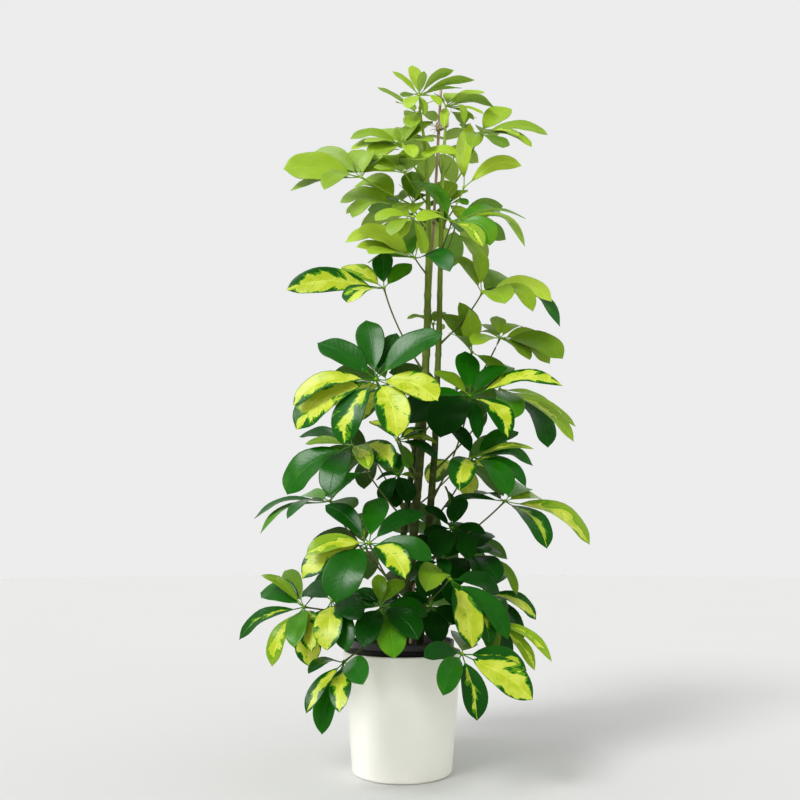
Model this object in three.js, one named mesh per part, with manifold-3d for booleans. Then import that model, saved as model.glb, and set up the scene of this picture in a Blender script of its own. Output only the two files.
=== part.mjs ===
// Potted umbrella plant, in millimetres, +Z up. The origin is the middle of the pot's underside.
// Each compound leaf is one solid: a petiole, a small hub and a whorl of stalked leaflets.
import * as THREE from "three";
import { mergeVertices } from "three/addons/utils/BufferGeometryUtils.js";
import Module from "manifold-3d";

const wasm = await Module();
wasm.setup();

// ---------------------------------------------------------------- driving dimensions
const RIM_RADIUS = 85;
const BASE_RADIUS = 70;
const POT_HEIGHT = 163;
const POT_WALL = 3.2;
const POT_FLOOR = 5;
const POT_FOOT_EDGE = 2.5;
const POT_RIM_EDGE = 1.2;
const POT_SEGMENTS = 36;
const GROWER_RIM_RADIUS = 75;
const GROWER_BASE_RADIUS = 58;
const GROWER_STANDS_PROUD = 15;
const GROWER_WALL = 1.6;
const GROWER_RIM_LIP = 3.5;
const GROWER_RIM_DROP = 9;
const GROWER_RIM_EDGE = 1;
const GROWER_SEGMENTS = 32;
const SOIL_BELOW_RIM = 12;
const SOIL_MOUND = 5;
const SOIL_SEGMENTS = 24;
const STEM_SUNK = 45;
const GAP = 0.35;
const STAKE_RADIUS = 2.6;
const STAKE_SIDES = 8;
const PETIOLE_RADIUS = 1.3;
const SHEATH_RADIUS = 2.4;
const HUB_RADIUS = 5.4;
const ROOT_BEHIND_HUB = 3;
const STALK_SHARE = 0.15;
const STALK_HALF_WIDTH = 1.4;
const BLADE_WIDTH_SHARE = 0.48;
const WEDGE_POWER = 0.8;
const TIP_POWER = 0.6;
const BLADE_THICKNESS = 1.5;
const BLADE_FOLD = 0.16;
const CLEARANCE = 1.1;
const BEND_STEP = 6;
const BEND_STEPS = 11;
const PETIOLE_BOW = 0.1;
const SHEATH_STEP = 7;
const SHEATH_STEPS = 5;

// Places on the plant are given as they show from the front: column and row in an 800 by 800 view,
// and depth, the distance behind the pot's axis. The eye stands here and looks slightly upwards.
const VIEW_MIDDLE = 400;
const VIEW_FOCAL = 800;
const EYE = new THREE.Vector3(-3, -1199, 305);
const EYE_TILT = THREE.MathUtils.degToRad(10.6);

// Stems from the soil to the tip: [column, row, depth, radius].
const STEMS = {
  tall: [[404, 636, -10, 7.5], [411, 560, -10, 7], [420, 460, -8, 6.6], [427, 330, -6, 6.2],
    [428, 195, -6, 3.9], [424, 140, -6, 2.7], [420, 112, -6, 2]],
  right: [[420, 636, 8, 6.5], [427, 550, 4, 6.2], [434, 460, 0, 5.4], [439, 330, -2, 4.8],
    [442, 195, -4, 3.8], [444, 150, -4, 2.7], [446, 117, -4, 2]],
  low: [[390, 636, 22, 6], [400, 560, 24, 5.6], [412, 470, 24, 5], [420, 405, 24, 4]],
};
const STAKE = [[411, 636, 26], [441, 89, 8]];

// The raffia band goes round the stake and the right stem. Each fray is the way it points from the band.
const TIE_ROW = 124;
const TIE_SIDES = 12;
const TIE_HALF_HEIGHT = 7;
const TIE_THICKNESS = 1.6;
const TIE_BULGE = 0.6;
const TIE_ROOM = 1.8;
const FRAY_RADIUS = 0.9;
const FRAYS = [[-14, 6, 9], [-17, -2, 3], [-12, -9, -7], [6, -10, 12], [-6, -11, -12]];

const TIP = "tip";

// Leaves from the top down. joins is the row where the petiole leaves its stem, hub and depth place
// the whorl, reach is the usual length from hub to tip in millimetres, face is the way the whorl's
// upper side looks. Each tip is [column, row, side, bow, twist, width]: side -1 reaches towards the
// front and 1 towards the back, bow is the arch's height in hundredths of the length, twist turns the
// blade about its midrib in degrees and width scales its breadth. rest gives leaflets that only show
// from behind, as compass angles about the hub (90 is straight back).
const LEAVES = [
  { name: "crown_left", tone: "lime", stem: "tall", joins: TIP, hub: [419, 95], depth: -8, reach: 62,
    face: [0, -0.4, 1], tips: [[412, 65, 1, 3], [424, 71, -0.3, 3], [392, 71, 0.5, 4, -30, 0.85],
      [454, 70, 1, 12, -20, 0.95], [475, 80, 0.5, 8, -15, 0.75], [462, 88, -0.6, 5, 0, 0.7],
      [403, 97, 1, 5, 0, 1.1], [408, 109, -1, 8], [440, 106, -1, 12, 0, 0.8], [425, 115, -0.8, 8, 0, 0.6]],
    rest: [] },
  { name: "crown_low", tone: "lime", stem: "tall", joins: 128, hub: [417, 113], depth: 6, reach: 68,
    face: [0, -0.3, 1], tips: [[377, 87, 0.5, 4, 0, 0.7], [411, 128, -1, 6, 0, 1.1],
      [398, 103, 1, 5, 0, 1.1], [434, 101, 0.6, 6, 0, 1.1]], rest: [60, 100] },
  { name: "crown_right", tone: "lime", stem: "right", joins: TIP, hub: [446, 106], depth: -6, reach: 72,
    face: [0.1, -0.4, 1], tips: [[434, 93, 1, 5, 0, 0.9], [459, 93, 1, 6, 0, 1.1],
      [485, 92, 1, 8, 28, 0.9], [494, 107, -0.5, 16, -20, 0.9], [484, 114, -1, 6, 15, 0.6],
      [464, 124, -1, 24, 0, 0.5], [444, 128, -1, 10, 0, 0.5], [474, 120, -0.7, 8, 20, 0.9]], rest: [] },
  { name: "upper_fold", tone: "lime", stem: "right", joins: 176, hub: [463, 127], depth: 4, reach: 50,
    face: [0, -0.5, 1], tips: [[455, 112, 1, 12, 0, 1.2], [477, 118, 0.5, 25, 0, 1.1],
      [462, 116, -1, 6, 0, 1.1]], rest: [80] },
  { name: "upper_right", tone: "lime", stem: "right", joins: 200, hub: [479, 133], depth: -8, reach: 98,
    face: [0.2, -0.5, 0.9], tips: [[512, 109, 0.6, 8, 25, 1.2], [548, 135, 0.6, 12, 25, 0.8],
      [532, 147, -1, 12, 15, 0.8], [503, 148, -1, 4, 0, 1.1], [472, 148, -1, 8, 0, 0.8],
      [520, 137, -0.4, 10, 15, 0.8]], rest: [70, 120] },
  { name: "upper_stalk", tone: "lime", stem: "right", joins: 226, hub: [464, 187], depth: -14, reach: 98,
    face: [-0.5, -0.8, 0.3], tips: [[470, 123, 0.3, 4, 0, 0.7], [522, 166, 0.3, 20, 30, 0.62]], rest: [] },
  { name: "upper_mid", tone: "lime", stem: "tall", joins: 182, hub: [403, 145], depth: 8, reach: 86,
    face: [-0.1, -0.5, 0.9], tips: [[350, 139, 0.5, 16, -25, 0.9], [377, 129, 1, 5, 0, 1.1],
      [364, 142, -0.8, 6, -15, 0.8], [397, 127, 1, 6, 0, 0.7], [417, 122, 1, 8, 0, 1.1],
      [433, 121, 0.4, 6, 15, 0.8], [350, 149, -0.6, 8, -20], [372, 160, -1, 10, -20, 1.2],
      [414, 158, -1, 8, 0, 0.7], [432, 142, -0.4, 8, 0, 1.1]], rest: [30] },
  { name: "upper_centre", tone: "lime", stem: "tall", joins: 205, hub: [405, 173], depth: -24, reach: 92,
    face: [0, -0.5, 0.9], tips: [[344, 171, 0.6, 8, -28], [386, 155, -1, 8, 0, 1.1],
      [461, 154, -0.4, 20, 20, 0.9], [380, 170, -1, 6, 0, 1.1], [418, 160, -1, 8, 0, 1.1],
      [402, 150, 0.2, 6, 0, 1.1], [362, 160, 0.3, 6, -20, 0.9]], rest: [] },
  { name: "upper_left", tone: "lime", stem: "tall", joins: 214, hub: [361, 177], depth: -50, reach: 118,
    face: [-0.25, -0.7, 0.6], tips: [[283, 169, -0.5, 6, -25, 1.2], [310, 155, 0.7, 14, -20, 0.75],
      [290, 191, -0.8, 8, 0, 0.65], [324, 190, -1, 12, -20, 0.65], [352, 150, 0.8, 4, 0, 1.1],
      [374, 150, 0.8, 8, 0, 1.1]], rest: [60] },
  { name: "left_arch", tone: "mid", stem: "tall", joins: 224, hub: [398, 204], depth: 8, reach: 92,
    face: [-0.2, -0.5, 0.9], tips: [[354, 187, 1, 24, -20, 1.1], [340, 203, 0.4, 16, -25, 1.1],
      [346, 214, -0.6, 14, -15, 0.9], [352, 218, -1, 16, -15, 0.9]], rest: [100, 60] },
  { name: "neck_left", tone: "mid", stem: "tall", joins: 232, hub: [413, 203], depth: 16, reach: 62,
    face: [0, -0.6, 0.8], tips: [[412, 171, 1, 4, 0, 1.5], [399, 184, 0.6, 4, 0, 1.1],
      [428, 184, 1, 6, 0, 1.1], [397, 214, -0.8, 8, 0, 1.3]], rest: [60] },
  { name: "neck_right", tone: "mid", stem: "right", joins: 232, hub: [449, 204], depth: 20, reach: 58,
    face: [0, -0.6, 0.8], tips: [[445, 180, 1, 5, 0, 1.5], [468, 205, -0.4, 16, 15, 1.15],
      [433, 184, 1, 6, 0, 1.2], [428, 206, -0.4, 14, -15, 1.2], [468, 190, 0.7, 8, 0, 1.1],
      [464, 222, -1, 10, 0, 1.1], [440, 224, -1, 10, 0, 1.1]], rest: [90] },
  { name: "mid_bright", tone: "lime", stem: "tall", joins: 244, hub: [413, 217], depth: -70, reach: 70,
    face: [-0.2, -0.6, 0.75], tips: [[375, 221, -0.5, 14, -15, 1.15], [391, 236, -1, 10, 0, 1.1],
      [402, 238, -0.8, 8, 0, 1.1], [442, 213, 0.4, 8, 0, 1.3], [426, 254, -0.6, 4, 0, 0.65]],
    rest: [80, 130] },
  { name: "right_gold", tone: "gold", stem: "right", joins: 252, hub: [452, 221], depth: -64, reach: 96,
    face: [0.25, -0.6, 0.75], tips: [[417, 221, -0.5, 12, 0, 1.1], [483, 247, -1, 10, 20, 0.62],
      [490, 246, -0.6, 22, 25, 1.2], [525, 247, -0.6, 28, 0, 0.6], [526, 219, 0.6, 14, 0, 0.4],
      [508, 218, 1, 18, 0, 0.7]], rest: [80, 130] },
  { name: "left_pale", tone: "mid", stem: "tall", joins: 276, hub: [415, 258], depth: -30, reach: 104,
    face: [-0.3, -0.6, 0.75], tips: [[345, 243, 0.6, 24, -15, 0.9], [357, 232, -0.4, 12, -25, 1.2],
      [356, 247, -0.8, 6, -15], [369, 254, -1, 6, -15], [424, 226, 0.4, 2, 0, 0.6],
      [450, 272, -1, 16, 0, 0.8]], rest: [105, 140] },
  { name: "gold_long", tone: "gold", stem: "tall", joins: 372, hub: [384, 288], depth: -36, reach: 84,
    face: [-0.2, -0.65, 0.7], tips: [[286, 290, -0.5, 9, -35, 0.75], [341, 267, 1, 6, 0, 1.1],
      [347, 303, -1, 12, 0, 1.3], [382, 252, 0.8, 4, 0, 1.1], [412, 264, 0.4, 4, 20, 1.2]], rest: [] },
  { name: "right_arch", tone: "olive", stem: "right", joins: 344, hub: [482, 293], depth: -6, reach: 104,
    face: [0.3, -0.6, 0.75], tips: [[456, 234, 0.8, 18, 0, 0.95], [445, 256, 1, 14, 0, 1.2],
      [510, 279, 1, 12, 0, 1.1], [505, 304, -1, 12, 25, 1.1], [533, 312, -0.8, 24, 15, 0.85],
      [552, 302, 0.6, 20, 15], [560, 327, -0.4, 24, 0, 0.75]], rest: [60] },
  { name: "right_olive", tone: "olive", stem: "right", joins: 420, hub: [472, 352], depth: 6, reach: 72,
    face: [0, -0.6, 0.8], tips: [[442, 314, 0.8, 10, 0, 1.3], [459, 302, 1, 8, 0, 1.1],
      [469, 309, 0.3, 4, 0, 1.3], [451, 334, -1, 8, 0, 1.1], [500, 384, -0.8, 16, 0, 1.1]], rest: [] },
  { name: "right_small", tone: "olive", stem: "right", joins: 428, hub: [500, 338], depth: 10, reach: 78,
    face: [0.1, -0.5, 0.9], tips: [[486, 324, 1, 3, 0, 1.1], [497, 316, 1, 3, 0, 0.9],
      [523, 327, 1, 14, 0, 0.9], [478, 332, 0.8, 10, 0, 1.1], [546, 344, 0.6, 14, 20, 1.2],
      [563, 359, -0.4, 12, 20, 1.2], [550, 364, -1, 12, 15, 1.1], [473, 345, -1, 8, 0, 1.1],
      [530, 360, -0.9, 8]], rest: [] },
  { name: "stub", tone: "olive", stem: "right", joins: 352, hub: [433, 324], depth: 32, reach: 52,
    face: [0, -0.5, 0.8], tips: [[407, 319, -0.5, 16, 0, 1.1], [444, 312, 1, 8, 0, 1.1]], rest: [70, 110] },
  { name: "hero_upper", tone: "gold", stem: "tall", joins: 478, hub: [376, 379], depth: -130, reach: 108,
    face: [-0.1, -0.75, 0.62], tips: [[317, 343, 0.8, 6, 0, 1.08], [366, 320, 1, 4, 0, 0.9],
      [397, 333, 1, 6, 0, 0.6], [443, 334, 0.8, 8, 0, 1.25], [438, 401, -0.8, 10, 0, 1.15],
      [397, 438, -1, 12, 0, 1.05], [344, 446, -1, 12], [296, 430, -0.8, 12, 0, 1.15],
      [293, 406, -0.5, 16, 0, 0.75]], rest: [] },
  { name: "left_mid", tone: "green", stem: "tall", joins: 528, hub: [352, 445], depth: -66, reach: 104,
    face: [-0.2, -0.65, 0.7], tips: [[299, 437, 0.8, 12, 0, 0.65], [305, 444, 0.4, 8, 0, 0.7],
      [287, 495, -0.8, 12, 0, 1.35], [329, 496, -1, 12], [369, 470, -1, 10, 0, 0.6],
      [393, 469, -1, 12, 0, 0.9]], rest: [100] },
  { name: "inner_gold", tone: "gold", stem: "tall", joins: 482, hub: [397, 440], depth: -34, reach: 66,
    face: [0.1, -0.6, 0.8], tips: [[437, 443, 0.6, 12, 0, 0.8], [438, 459, -0.8, 10, 0, 0.95],
      [408, 469, -1, 10, 0, 1.1], [425, 430, 0.8, 8, 0, 1.1]], rest: [130, 90] },
  { name: "right_broad", tone: "green", stem: "right", joins: 498, hub: [470, 396], depth: -30, reach: 112,
    face: [0.1, -0.6, 0.75], tips: [[465, 351, 1, 4, 0, 1.08], [434, 371, 1, 6, 0, 1.1],
      [563, 386, 0.4, 14, 0, 0.8], [508, 367, 1, 10, 0, 1.1], [508, 438, -1, 16, 0, 0.85],
      [405, 424, -0.6, 14, 0, 1.4], [440, 438, -1, 14, 0, 1.3], [478, 440, -1, 10, 0, 0.5],
      [424, 398, -0.2, 8, 0, 1.1]], rest: [] },
  { name: "right_lime", tone: "gold", stem: "right", joins: 470, hub: [500, 389], depth: 26, reach: 102,
    face: [0.25, -0.6, 0.75], tips: [[514, 419, -1, 10, 0, 1.1], [548, 448, -0.9, 16, 0, 1.15],
      [576, 427, 0.6, 8, 0, 0.5], [574, 442, -0.4, 10, 0, 0.55], [553, 404, 1, 6, 0, 0.5]], rest: [80] },
  { name: "right_fan", tone: "green", stem: "right", joins: 524, hub: [473, 457], depth: -54, reach: 90,
    face: [0.15, -0.6, 0.8], tips: [[459, 491, -1, 18, 0, 1.05], [533, 466, 0.5, 18, 0, 0.9],
      [508, 496, -1, 16, 0, 1.05], [526, 487, -0.6, 16, 0, 0.75], [519, 432, 1, 8, 0, 0.85],
      [534, 449, 1, 10, 0, 0.5], [452, 424, 1, 4, 0, 1.1]], rest: [] },
  { name: "inner_shade", tone: "green", stem: "low", joins: 520, hub: [398, 474], depth: -6, reach: 60,
    face: [0, -0.6, 0.8], tips: [[383, 503, -1, 10, 0, 1.2], [409, 503, -1, 8, 0, 1.2],
      [422, 482, 0.3, 8, 0, 1.1], [376, 480, 0.5, 8, 0, 1.1], [396, 508, -1, 10, 0, 1.2]], rest: [90] },
  { name: "hero_lower", tone: "gold", stem: "tall", joins: 604, hub: [369, 543], depth: -136, reach: 98,
    face: [-0.05, -0.75, 0.65], tips: [[325, 505, 0.9, 8, 0, 0.8], [380, 497, 1, 4, 0, 0.9],
      [424, 513, 0.8, 8, 0, 0.8], [432, 561, -0.5, 10, 0, 0.95], [406, 579, -1, 12, 0, 0.92],
      [336, 603, -1, 12, 0, 1.35], [302, 579, -0.8, 12, 0, 0.95], [306, 554, -0.4, 10, 0, 0.85]],
    rest: [] },
  { name: "left_thin", tone: "green", stem: "low", joins: 585, hub: [330, 501], depth: -20, reach: 112,
    face: [-0.3, -0.35, 0.9], tips: [[254, 519, -0.5, 14, 0, 0.6], [260, 534, -0.9, 16, 0, 0.55],
      [287, 519, -1, 12, 0, 0.6], [299, 497, 1, 6, 0, 0.7], [339, 487, 1, 5, 0, 1.2],
      [352, 510, 0.8, 6, 0, 1.1]], rest: [60] },
  { name: "left_low", tone: "green", stem: "low", joins: 618, hub: [304, 607], depth: -50, reach: 94,
    face: [-0.35, -0.55, 0.75], tips: [[260, 593, 0.8, 12, 0, 1.2], [261, 575, 0.5, 10, 0, 0.45],
      [284, 571, 1, 8, 0, 0.7], [239, 640, -0.4, 14, 0, 0.78], [272, 667, -0.8, 14, 0, 0.85],
      [294, 648, -1, 12, 0, 0.85], [312, 652, -1, 12, 0, 0.85]], rest: [40] },
  { name: "left_low_gold", tone: "gold", stem: "tall", joins: 624, hub: [332, 600], depth: -92, reach: 84,
    face: [-0.2, -0.7, 0.65], tips: [[303, 591, 1, 8, 0, 1.1], [309, 667, -0.6, 12, 0, 1.1],
      [327, 651, -1, 12, 0, 1.15], [347, 652, -1, 10, 0, 0.9], [360, 620, -0.6, 10, 0, 1.2],
      [362, 596, 0.6, 8, 0, 1.1]], rest: [90] },
  { name: "pot_front", tone: "green", stem: "tall", joins: 630, hub: [381, 606], depth: -100, reach: 82,
    face: [0, -0.65, 0.75], tips: [[394, 659, -1, 12, 0, 1.2], [346, 612, 0.6, 10, 0, 1.1],
      [356, 590, 1, 6, 0, 1.1], [428, 617, 0.5, 12, 0, 1.1], [378, 574, 1, 6, 0, 1.1],
      [404, 580, 1, 8, 0, 1.1], [364, 648, -0.9, 12, 0, 1.1], [418, 640, -0.8, 10, 0, 1.2]], rest: [70] },
  { name: "pot_left", tone: "green", stem: "tall", joins: 634, hub: [344, 662], depth: -124, reach: 92,
    face: [-0.2, -0.75, 0.5], tips: [[308, 674, -1, 10, 0, 0.5], [306, 714, -0.6, 10, 0, 0.6],
      [322, 735, -0.3, 10, 0, 0.8], [339, 713, -1, 10, 0, 0.75], [363, 685, -1, 10, 0, 0.85]], rest: [] },
  { name: "pot_right", tone: "gold", stem: "right", joins: 634, hub: [462, 654], depth: -124, reach: 92,
    face: [0.2, -0.75, 0.5], tips: [[424, 658, -0.6, 10, 0, 0.9], [443, 696, -1, 10, 0, 0.8],
      [477, 721, -0.4, 10], [533, 700, -0.3, 6, 0, 1.1], [527, 671, 0.4, 10, 0, 0.8],
      [464, 636, 1, 4, 0, 1.1]], rest: [] },
  { name: "right_low_gold", tone: "gold", stem: "right", joins: 560, hub: [505, 501], depth: -12, reach: 116,
    face: [0.25, -0.55, 0.8], tips: [[590, 545, -0.6, 16, 0, 0.85], [547, 549, -0.9, 14, 0, 0.95],
      [443, 508, 0.3, 12, 0, 0.6], [526, 487, 1, 8, 0, 0.9], [542, 499, 1, 6, 0, 0.6],
      [476, 495, 1, 6, 0, 0.6]], rest: [] },
  { name: "inner_dark", tone: "green", stem: "tall", joins: 585, hub: [452, 528], depth: -20, reach: 78,
    face: [0.1, -0.6, 0.8], tips: [[424, 508, 0.6, 8, 0, 1.2], [446, 486, 0.6, 6, 0, 1.1],
      [486, 534, 0.5, 10, 0, 1.2], [437, 558, -1, 12, 0, 1.2], [466, 498, 0.9, 8, 0, 1.2],
      [424, 536, -0.4, 8, 0, 1.1], [470, 560, -1, 10, 0, 1.1]], rest: [] },
  { name: "inner_right", tone: "green", stem: "right", joins: 612, hub: [440, 562], depth: -50, reach: 76,
    face: [0.1, -0.65, 0.8], tips: [[420, 534, 0.8, 6, 0, 1.1], [436, 528, 0.6, 6, 0, 1.1],
      [474, 540, 0.8, 8, 0, 1.1], [414, 570, -0.2, 10, 0, 1.1], [424, 598, -1, 10, 0, 1.1],
      [452, 606, -1, 12, 0, 1.1]], rest: [] },
  { name: "inner_low", tone: "green", stem: "tall", joins: 634, hub: [430, 606], depth: -56, reach: 72,
    face: [0, -0.65, 0.8], tips: [[403, 594, 0.4, 8, 0, 0.9], [404, 632, -0.8, 10, 0, 1.2],
      [438, 644, -1, 10, 0, 1.3], [462, 626, -0.5, 10, 0, 1.2], [452, 586, 1, 6, 0, 1.1],
      [414, 588, 0.8, 6, 0, 0.8]], rest: [] },
  { name: "right_olive_low", tone: "olive", stem: "right", joins: 592, hub: [468, 555], depth: 14, reach: 88,
    face: [0.15, -0.5, 0.85], tips: [[517, 596, -0.5, 20, 0, 0.6], [488, 553, -1, 14, 0, 1.2],
      [498, 582, -1, 14, 0, 1.1], [450, 590, -1, 10, 0, 1.1], [500, 552, 0.8, 8, 0, 1.1]],
    rest: [60, 100] },
  { name: "right_low", tone: "gold", stem: "tall", joins: 618, hub: [450, 579], depth: -88, reach: 98,
    face: [0.1, -0.7, 0.7], tips: [[426, 592, -1, 20, 0, 0.95], [408, 578, 0.6, 8, 0, 1.1],
      [500, 594, 0.4, 12, 0, 1.1], [508, 640, -0.6, 12, 0, 0.75], [472, 648, -1, 12],
      [440, 558, 1, 4, 0, 1.1], [490, 648, -1, 12, 0, 0.7]], rest: [] },
  { name: "right_yellow", tone: "gold", stem: "right", joins: 620, hub: [484, 592], depth: 10, reach: 84,
    face: [0.3, -0.5, 0.8], tips: [[536, 620, -0.4, 14, 0, 1.1], [520, 645, -0.8, 16, 0, 0.8],
      [500, 618, -1, 12, 0, 1.1], [470, 622, -1, 10, 0, 1.1]], rest: [60, 100] },
  { name: "right_yellow_low", tone: "gold", stem: "right", joins: 628, hub: [488, 618], depth: -30, reach: 84,
    face: [0.3, -0.6, 0.7], tips: [[535, 671, -0.8, 10, 0, 0.65], [552, 662, -0.2, 12, 0, 0.5],
      [492, 655, -1, 12, 0, 0.8], [508, 665, -1, 14, 0, 0.8]], rest: [60] },
  { name: "back_crown", tone: "lime", stem: "right", joins: 178, hub: [437, 150], depth: 62, reach: 78,
    face: [0, 0.4, 0.9], tips: [], rest: [20, 65, 110, 155, 205] },
  { name: "back_neck", tone: "mid", stem: "tall", joins: 246, hub: [412, 214], depth: 92, reach: 92,
    face: [-0.2, 0.4, 0.9], tips: [], rest: [50, 90, 130, 170, 215] },
  { name: "back_neck_right", tone: "mid", stem: "right", joins: 262, hub: [455, 226], depth: 84, reach: 90,
    face: [0.2, 0.5, 0.85], tips: [], rest: [10, 50, 90, 130, 330] },
  { name: "back_hero", tone: "gold", stem: "low", joins: 448, hub: [388, 384], depth: 96, reach: 98,
    face: [-0.2, 0.5, 0.85], tips: [], rest: [40, 80, 120, 160, 200, 250] },
  { name: "back_broad", tone: "green", stem: "low", joins: 440, hub: [448, 392], depth: 108, reach: 102,
    face: [0.2, 0.5, 0.85], tips: [], rest: [10, 50, 90, 130, 175, 320] },
  { name: "back_waist_left", tone: "green", stem: "low", joins: 506, hub: [372, 452], depth: 84, reach: 96,
    face: [-0.3, 0.5, 0.8], tips: [], rest: [60, 100, 140, 180, 225] },
  { name: "back_waist_right", tone: "gold", stem: "low", joins: 512, hub: [462, 462], depth: 96, reach: 98,
    face: [0.3, 0.5, 0.8], tips: [], rest: [0, 40, 80, 125, 320] },
  { name: "back_low_left", tone: "gold", stem: "low", joins: 588, hub: [366, 548], depth: 104, reach: 100,
    face: [-0.25, 0.5, 0.8], tips: [], rest: [50, 90, 130, 170, 215, 260] },
  { name: "back_low_right", tone: "green", stem: "right", joins: 588, hub: [448, 540], depth: 108, reach: 100,
    face: [0.25, 0.5, 0.8], tips: [], rest: [10, 50, 90, 130, 175, 215] },
  { name: "back_low", tone: "green", stem: "low", joins: 622, hub: [410, 606], depth: 124, reach: 96,
    face: [0, 0.6, 0.75], tips: [], rest: [5, 50, 90, 130, 175, 250] },
];

// ---------------------------------------------------------------- places and curves
const UP = new THREE.Vector3(0, 0, 1);

// The direction in which the eye looks at a column and row of the front view.
function sightLine([column, row]) {
  const right = (column - VIEW_MIDDLE) / VIEW_FOCAL;
  const up = (VIEW_MIDDLE - row) / VIEW_FOCAL;
  const cos = Math.cos(EYE_TILT);
  const sin = Math.sin(EYE_TILT);
  return new THREE.Vector3(right, cos - up * sin, sin + up * cos);
}

// The point that shows at a column and row, at a depth.
function seen(place, depth) {
  const line = sightLine(place);
  return EYE.clone().addScaledVector(line, (depth - EYE.y) / line.y);
}

// The tip lies on its sight line, one reach from the hub, on the side asked for.
function tipPoint(hub, reach, [column, row, side], bend) {
  const line = sightLine([column, row]);
  const length = line.length();
  line.normalize();
  const fromHub = EYE.clone().sub(hub);
  const along = -line.dot(fromHub);
  const spare = reach * reach - (fromHub.lengthSq() - along * along);
  const offset = side * Math.sqrt(Math.max(spare, 0));
  return EYE.clone().addScaledVector(line, along + offset + bend * BEND_STEP * length);
}

// The part of a vector that is square to an axis, made one long.
function acrossFrom(vector, axis) {
  return vector.clone().addScaledVector(axis, -vector.dot(axis)).normalize();
}

// ---------------------------------------------------------------- solids
// A tube of rings with the same number of points, closed by fans. Any ring may be a single point.
function loft(rings) {
  const points = [];
  const faces = [];
  const starts = rings.map((ring) => points.push(...ring) - ring.length);
  rings.slice(1).forEach((ring, i) => {
    const a = starts[i];
    const b = starts[i + 1];
    const n = Math.max(rings[i].length, ring.length);
    for (let k = 0; k < n; k++) {
      const l = (k + 1) % n;
      if (rings[i].length === 1) faces.push(a, b + l, b + k);
      else if (ring.length === 1) faces.push(a + k, a + l, b);
      else if (2 * k < n) faces.push(a + k, a + l, b + l, a + k, b + l, b + k);
      else faces.push(a + k, a + l, b + k, a + l, b + l, b + k);
    }
  });
  closeRing(faces, starts[0], rings[0].length, true);
  closeRing(faces, starts.at(-1), rings.at(-1).length, false);
  const geometry = new THREE.BufferGeometry().setFromPoints(points);
  return geometry.setIndex(faces);
}

function closeRing(faces, start, count, turned) {
  for (let k = 1; k + 1 < count; k++) {
    const [a, b] = turned ? [k + 1, k] : [k, k + 1];
    faces.push(start, start + a, start + b);
  }
}

function roundRing(centre, sideways, upwards, radius, sides) {
  return Array.from({ length: sides }, (_, k) => {
    const angle = (2 * Math.PI * k) / sides;
    return centre.clone()
      .addScaledVector(sideways, radius * Math.cos(angle))
      .addScaledVector(upwards, radius * Math.sin(angle));
  });
}

function solidOf(geometry) {
  const bare = geometry.clone();
  bare.deleteAttribute("normal");
  bare.deleteAttribute("uv");
  const merged = mergeVertices(bare, 1e-4);
  const make = (triVerts) => new wasm.Manifold(new wasm.Mesh({
    numProp: 3, vertProperties: new Float32Array(merged.attributes.position.array), triVerts,
  }));
  const triVerts = new Uint32Array(merged.index.array);
  const solid = make(triVerts);
  return solid.volume() > 0 ? solid : make(triVerts.reverse());
}

function geometryOf(solid) {
  const { vertProperties, triVerts } = solid.getMesh();
  const geometry = new THREE.BufferGeometry();
  geometry.setAttribute("position", new THREE.BufferAttribute(vertProperties, 3));
  return geometry.setIndex(new THREE.BufferAttribute(triVerts, 1));
}

function boxOf(solid) {
  const { min, max } = solid.boundingBox();
  return new THREE.Box3(new THREE.Vector3(...min), new THREE.Vector3(...max));
}

// What already stands in its place, so that the next leaflet is bent clear of it.
const standing = [];

function stand(owner, solid) {
  standing.push({ owner, solid, box: boxOf(solid) });
}

function isClear(solid, owner) {
  const box = boxOf(solid);
  return !standing.some((other) => other.owner !== owner && other.box.intersectsBox(box)
    && !other.solid.intersect(solid).isEmpty());
}

// ---------------------------------------------------------------- pot and soil
function lathe(profile, segments) {
  return new THREE.LatheGeometry(profile.map(([r, z]) => new THREE.Vector2(r, z)), segments)
    .rotateX(Math.PI / 2);
}

function coverPot() {
  const slope = (RIM_RADIUS - BASE_RADIUS) / POT_HEIGHT;
  const wallAt = (z) => BASE_RADIUS + slope * z;
  return lathe([
    [0, 0], [BASE_RADIUS - POT_FOOT_EDGE, 0], [BASE_RADIUS, POT_FOOT_EDGE],
    [RIM_RADIUS, POT_HEIGHT - POT_RIM_EDGE], [RIM_RADIUS - POT_RIM_EDGE, POT_HEIGHT],
    [RIM_RADIUS - POT_WALL + POT_RIM_EDGE / 2, POT_HEIGHT],
    [RIM_RADIUS - POT_WALL, POT_HEIGHT - POT_RIM_EDGE],
    [wallAt(POT_FLOOR) - POT_WALL, POT_FLOOR], [0, POT_FLOOR],
  ], POT_SEGMENTS);
}

const GROWER_TOP = POT_HEIGHT + GROWER_STANDS_PROUD;
const GROWER_BOTTOM = POT_FLOOR + GAP;
const GROWER_INSIDE = GROWER_RIM_RADIUS - GROWER_RIM_LIP - GROWER_WALL;
const SOIL_TOP = GROWER_TOP - SOIL_BELOW_RIM;

function growerPot() {
  const lipUnder = GROWER_TOP - GROWER_RIM_DROP;
  return lathe([
    [0, GROWER_BOTTOM], [GROWER_BASE_RADIUS, GROWER_BOTTOM], [GROWER_RIM_RADIUS - GROWER_RIM_LIP, lipUnder],
    [GROWER_RIM_RADIUS, lipUnder], [GROWER_RIM_RADIUS, GROWER_TOP - GROWER_RIM_EDGE],
    [GROWER_RIM_RADIUS - GROWER_RIM_EDGE, GROWER_TOP], [GROWER_INSIDE + GROWER_RIM_EDGE, GROWER_TOP],
    [GROWER_INSIDE, GROWER_TOP - GROWER_RIM_EDGE],
    [GROWER_BASE_RADIUS - GROWER_WALL, GROWER_BOTTOM + GROWER_WALL], [0, GROWER_BOTTOM + GROWER_WALL],
  ], GROWER_SEGMENTS);
}

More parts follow.
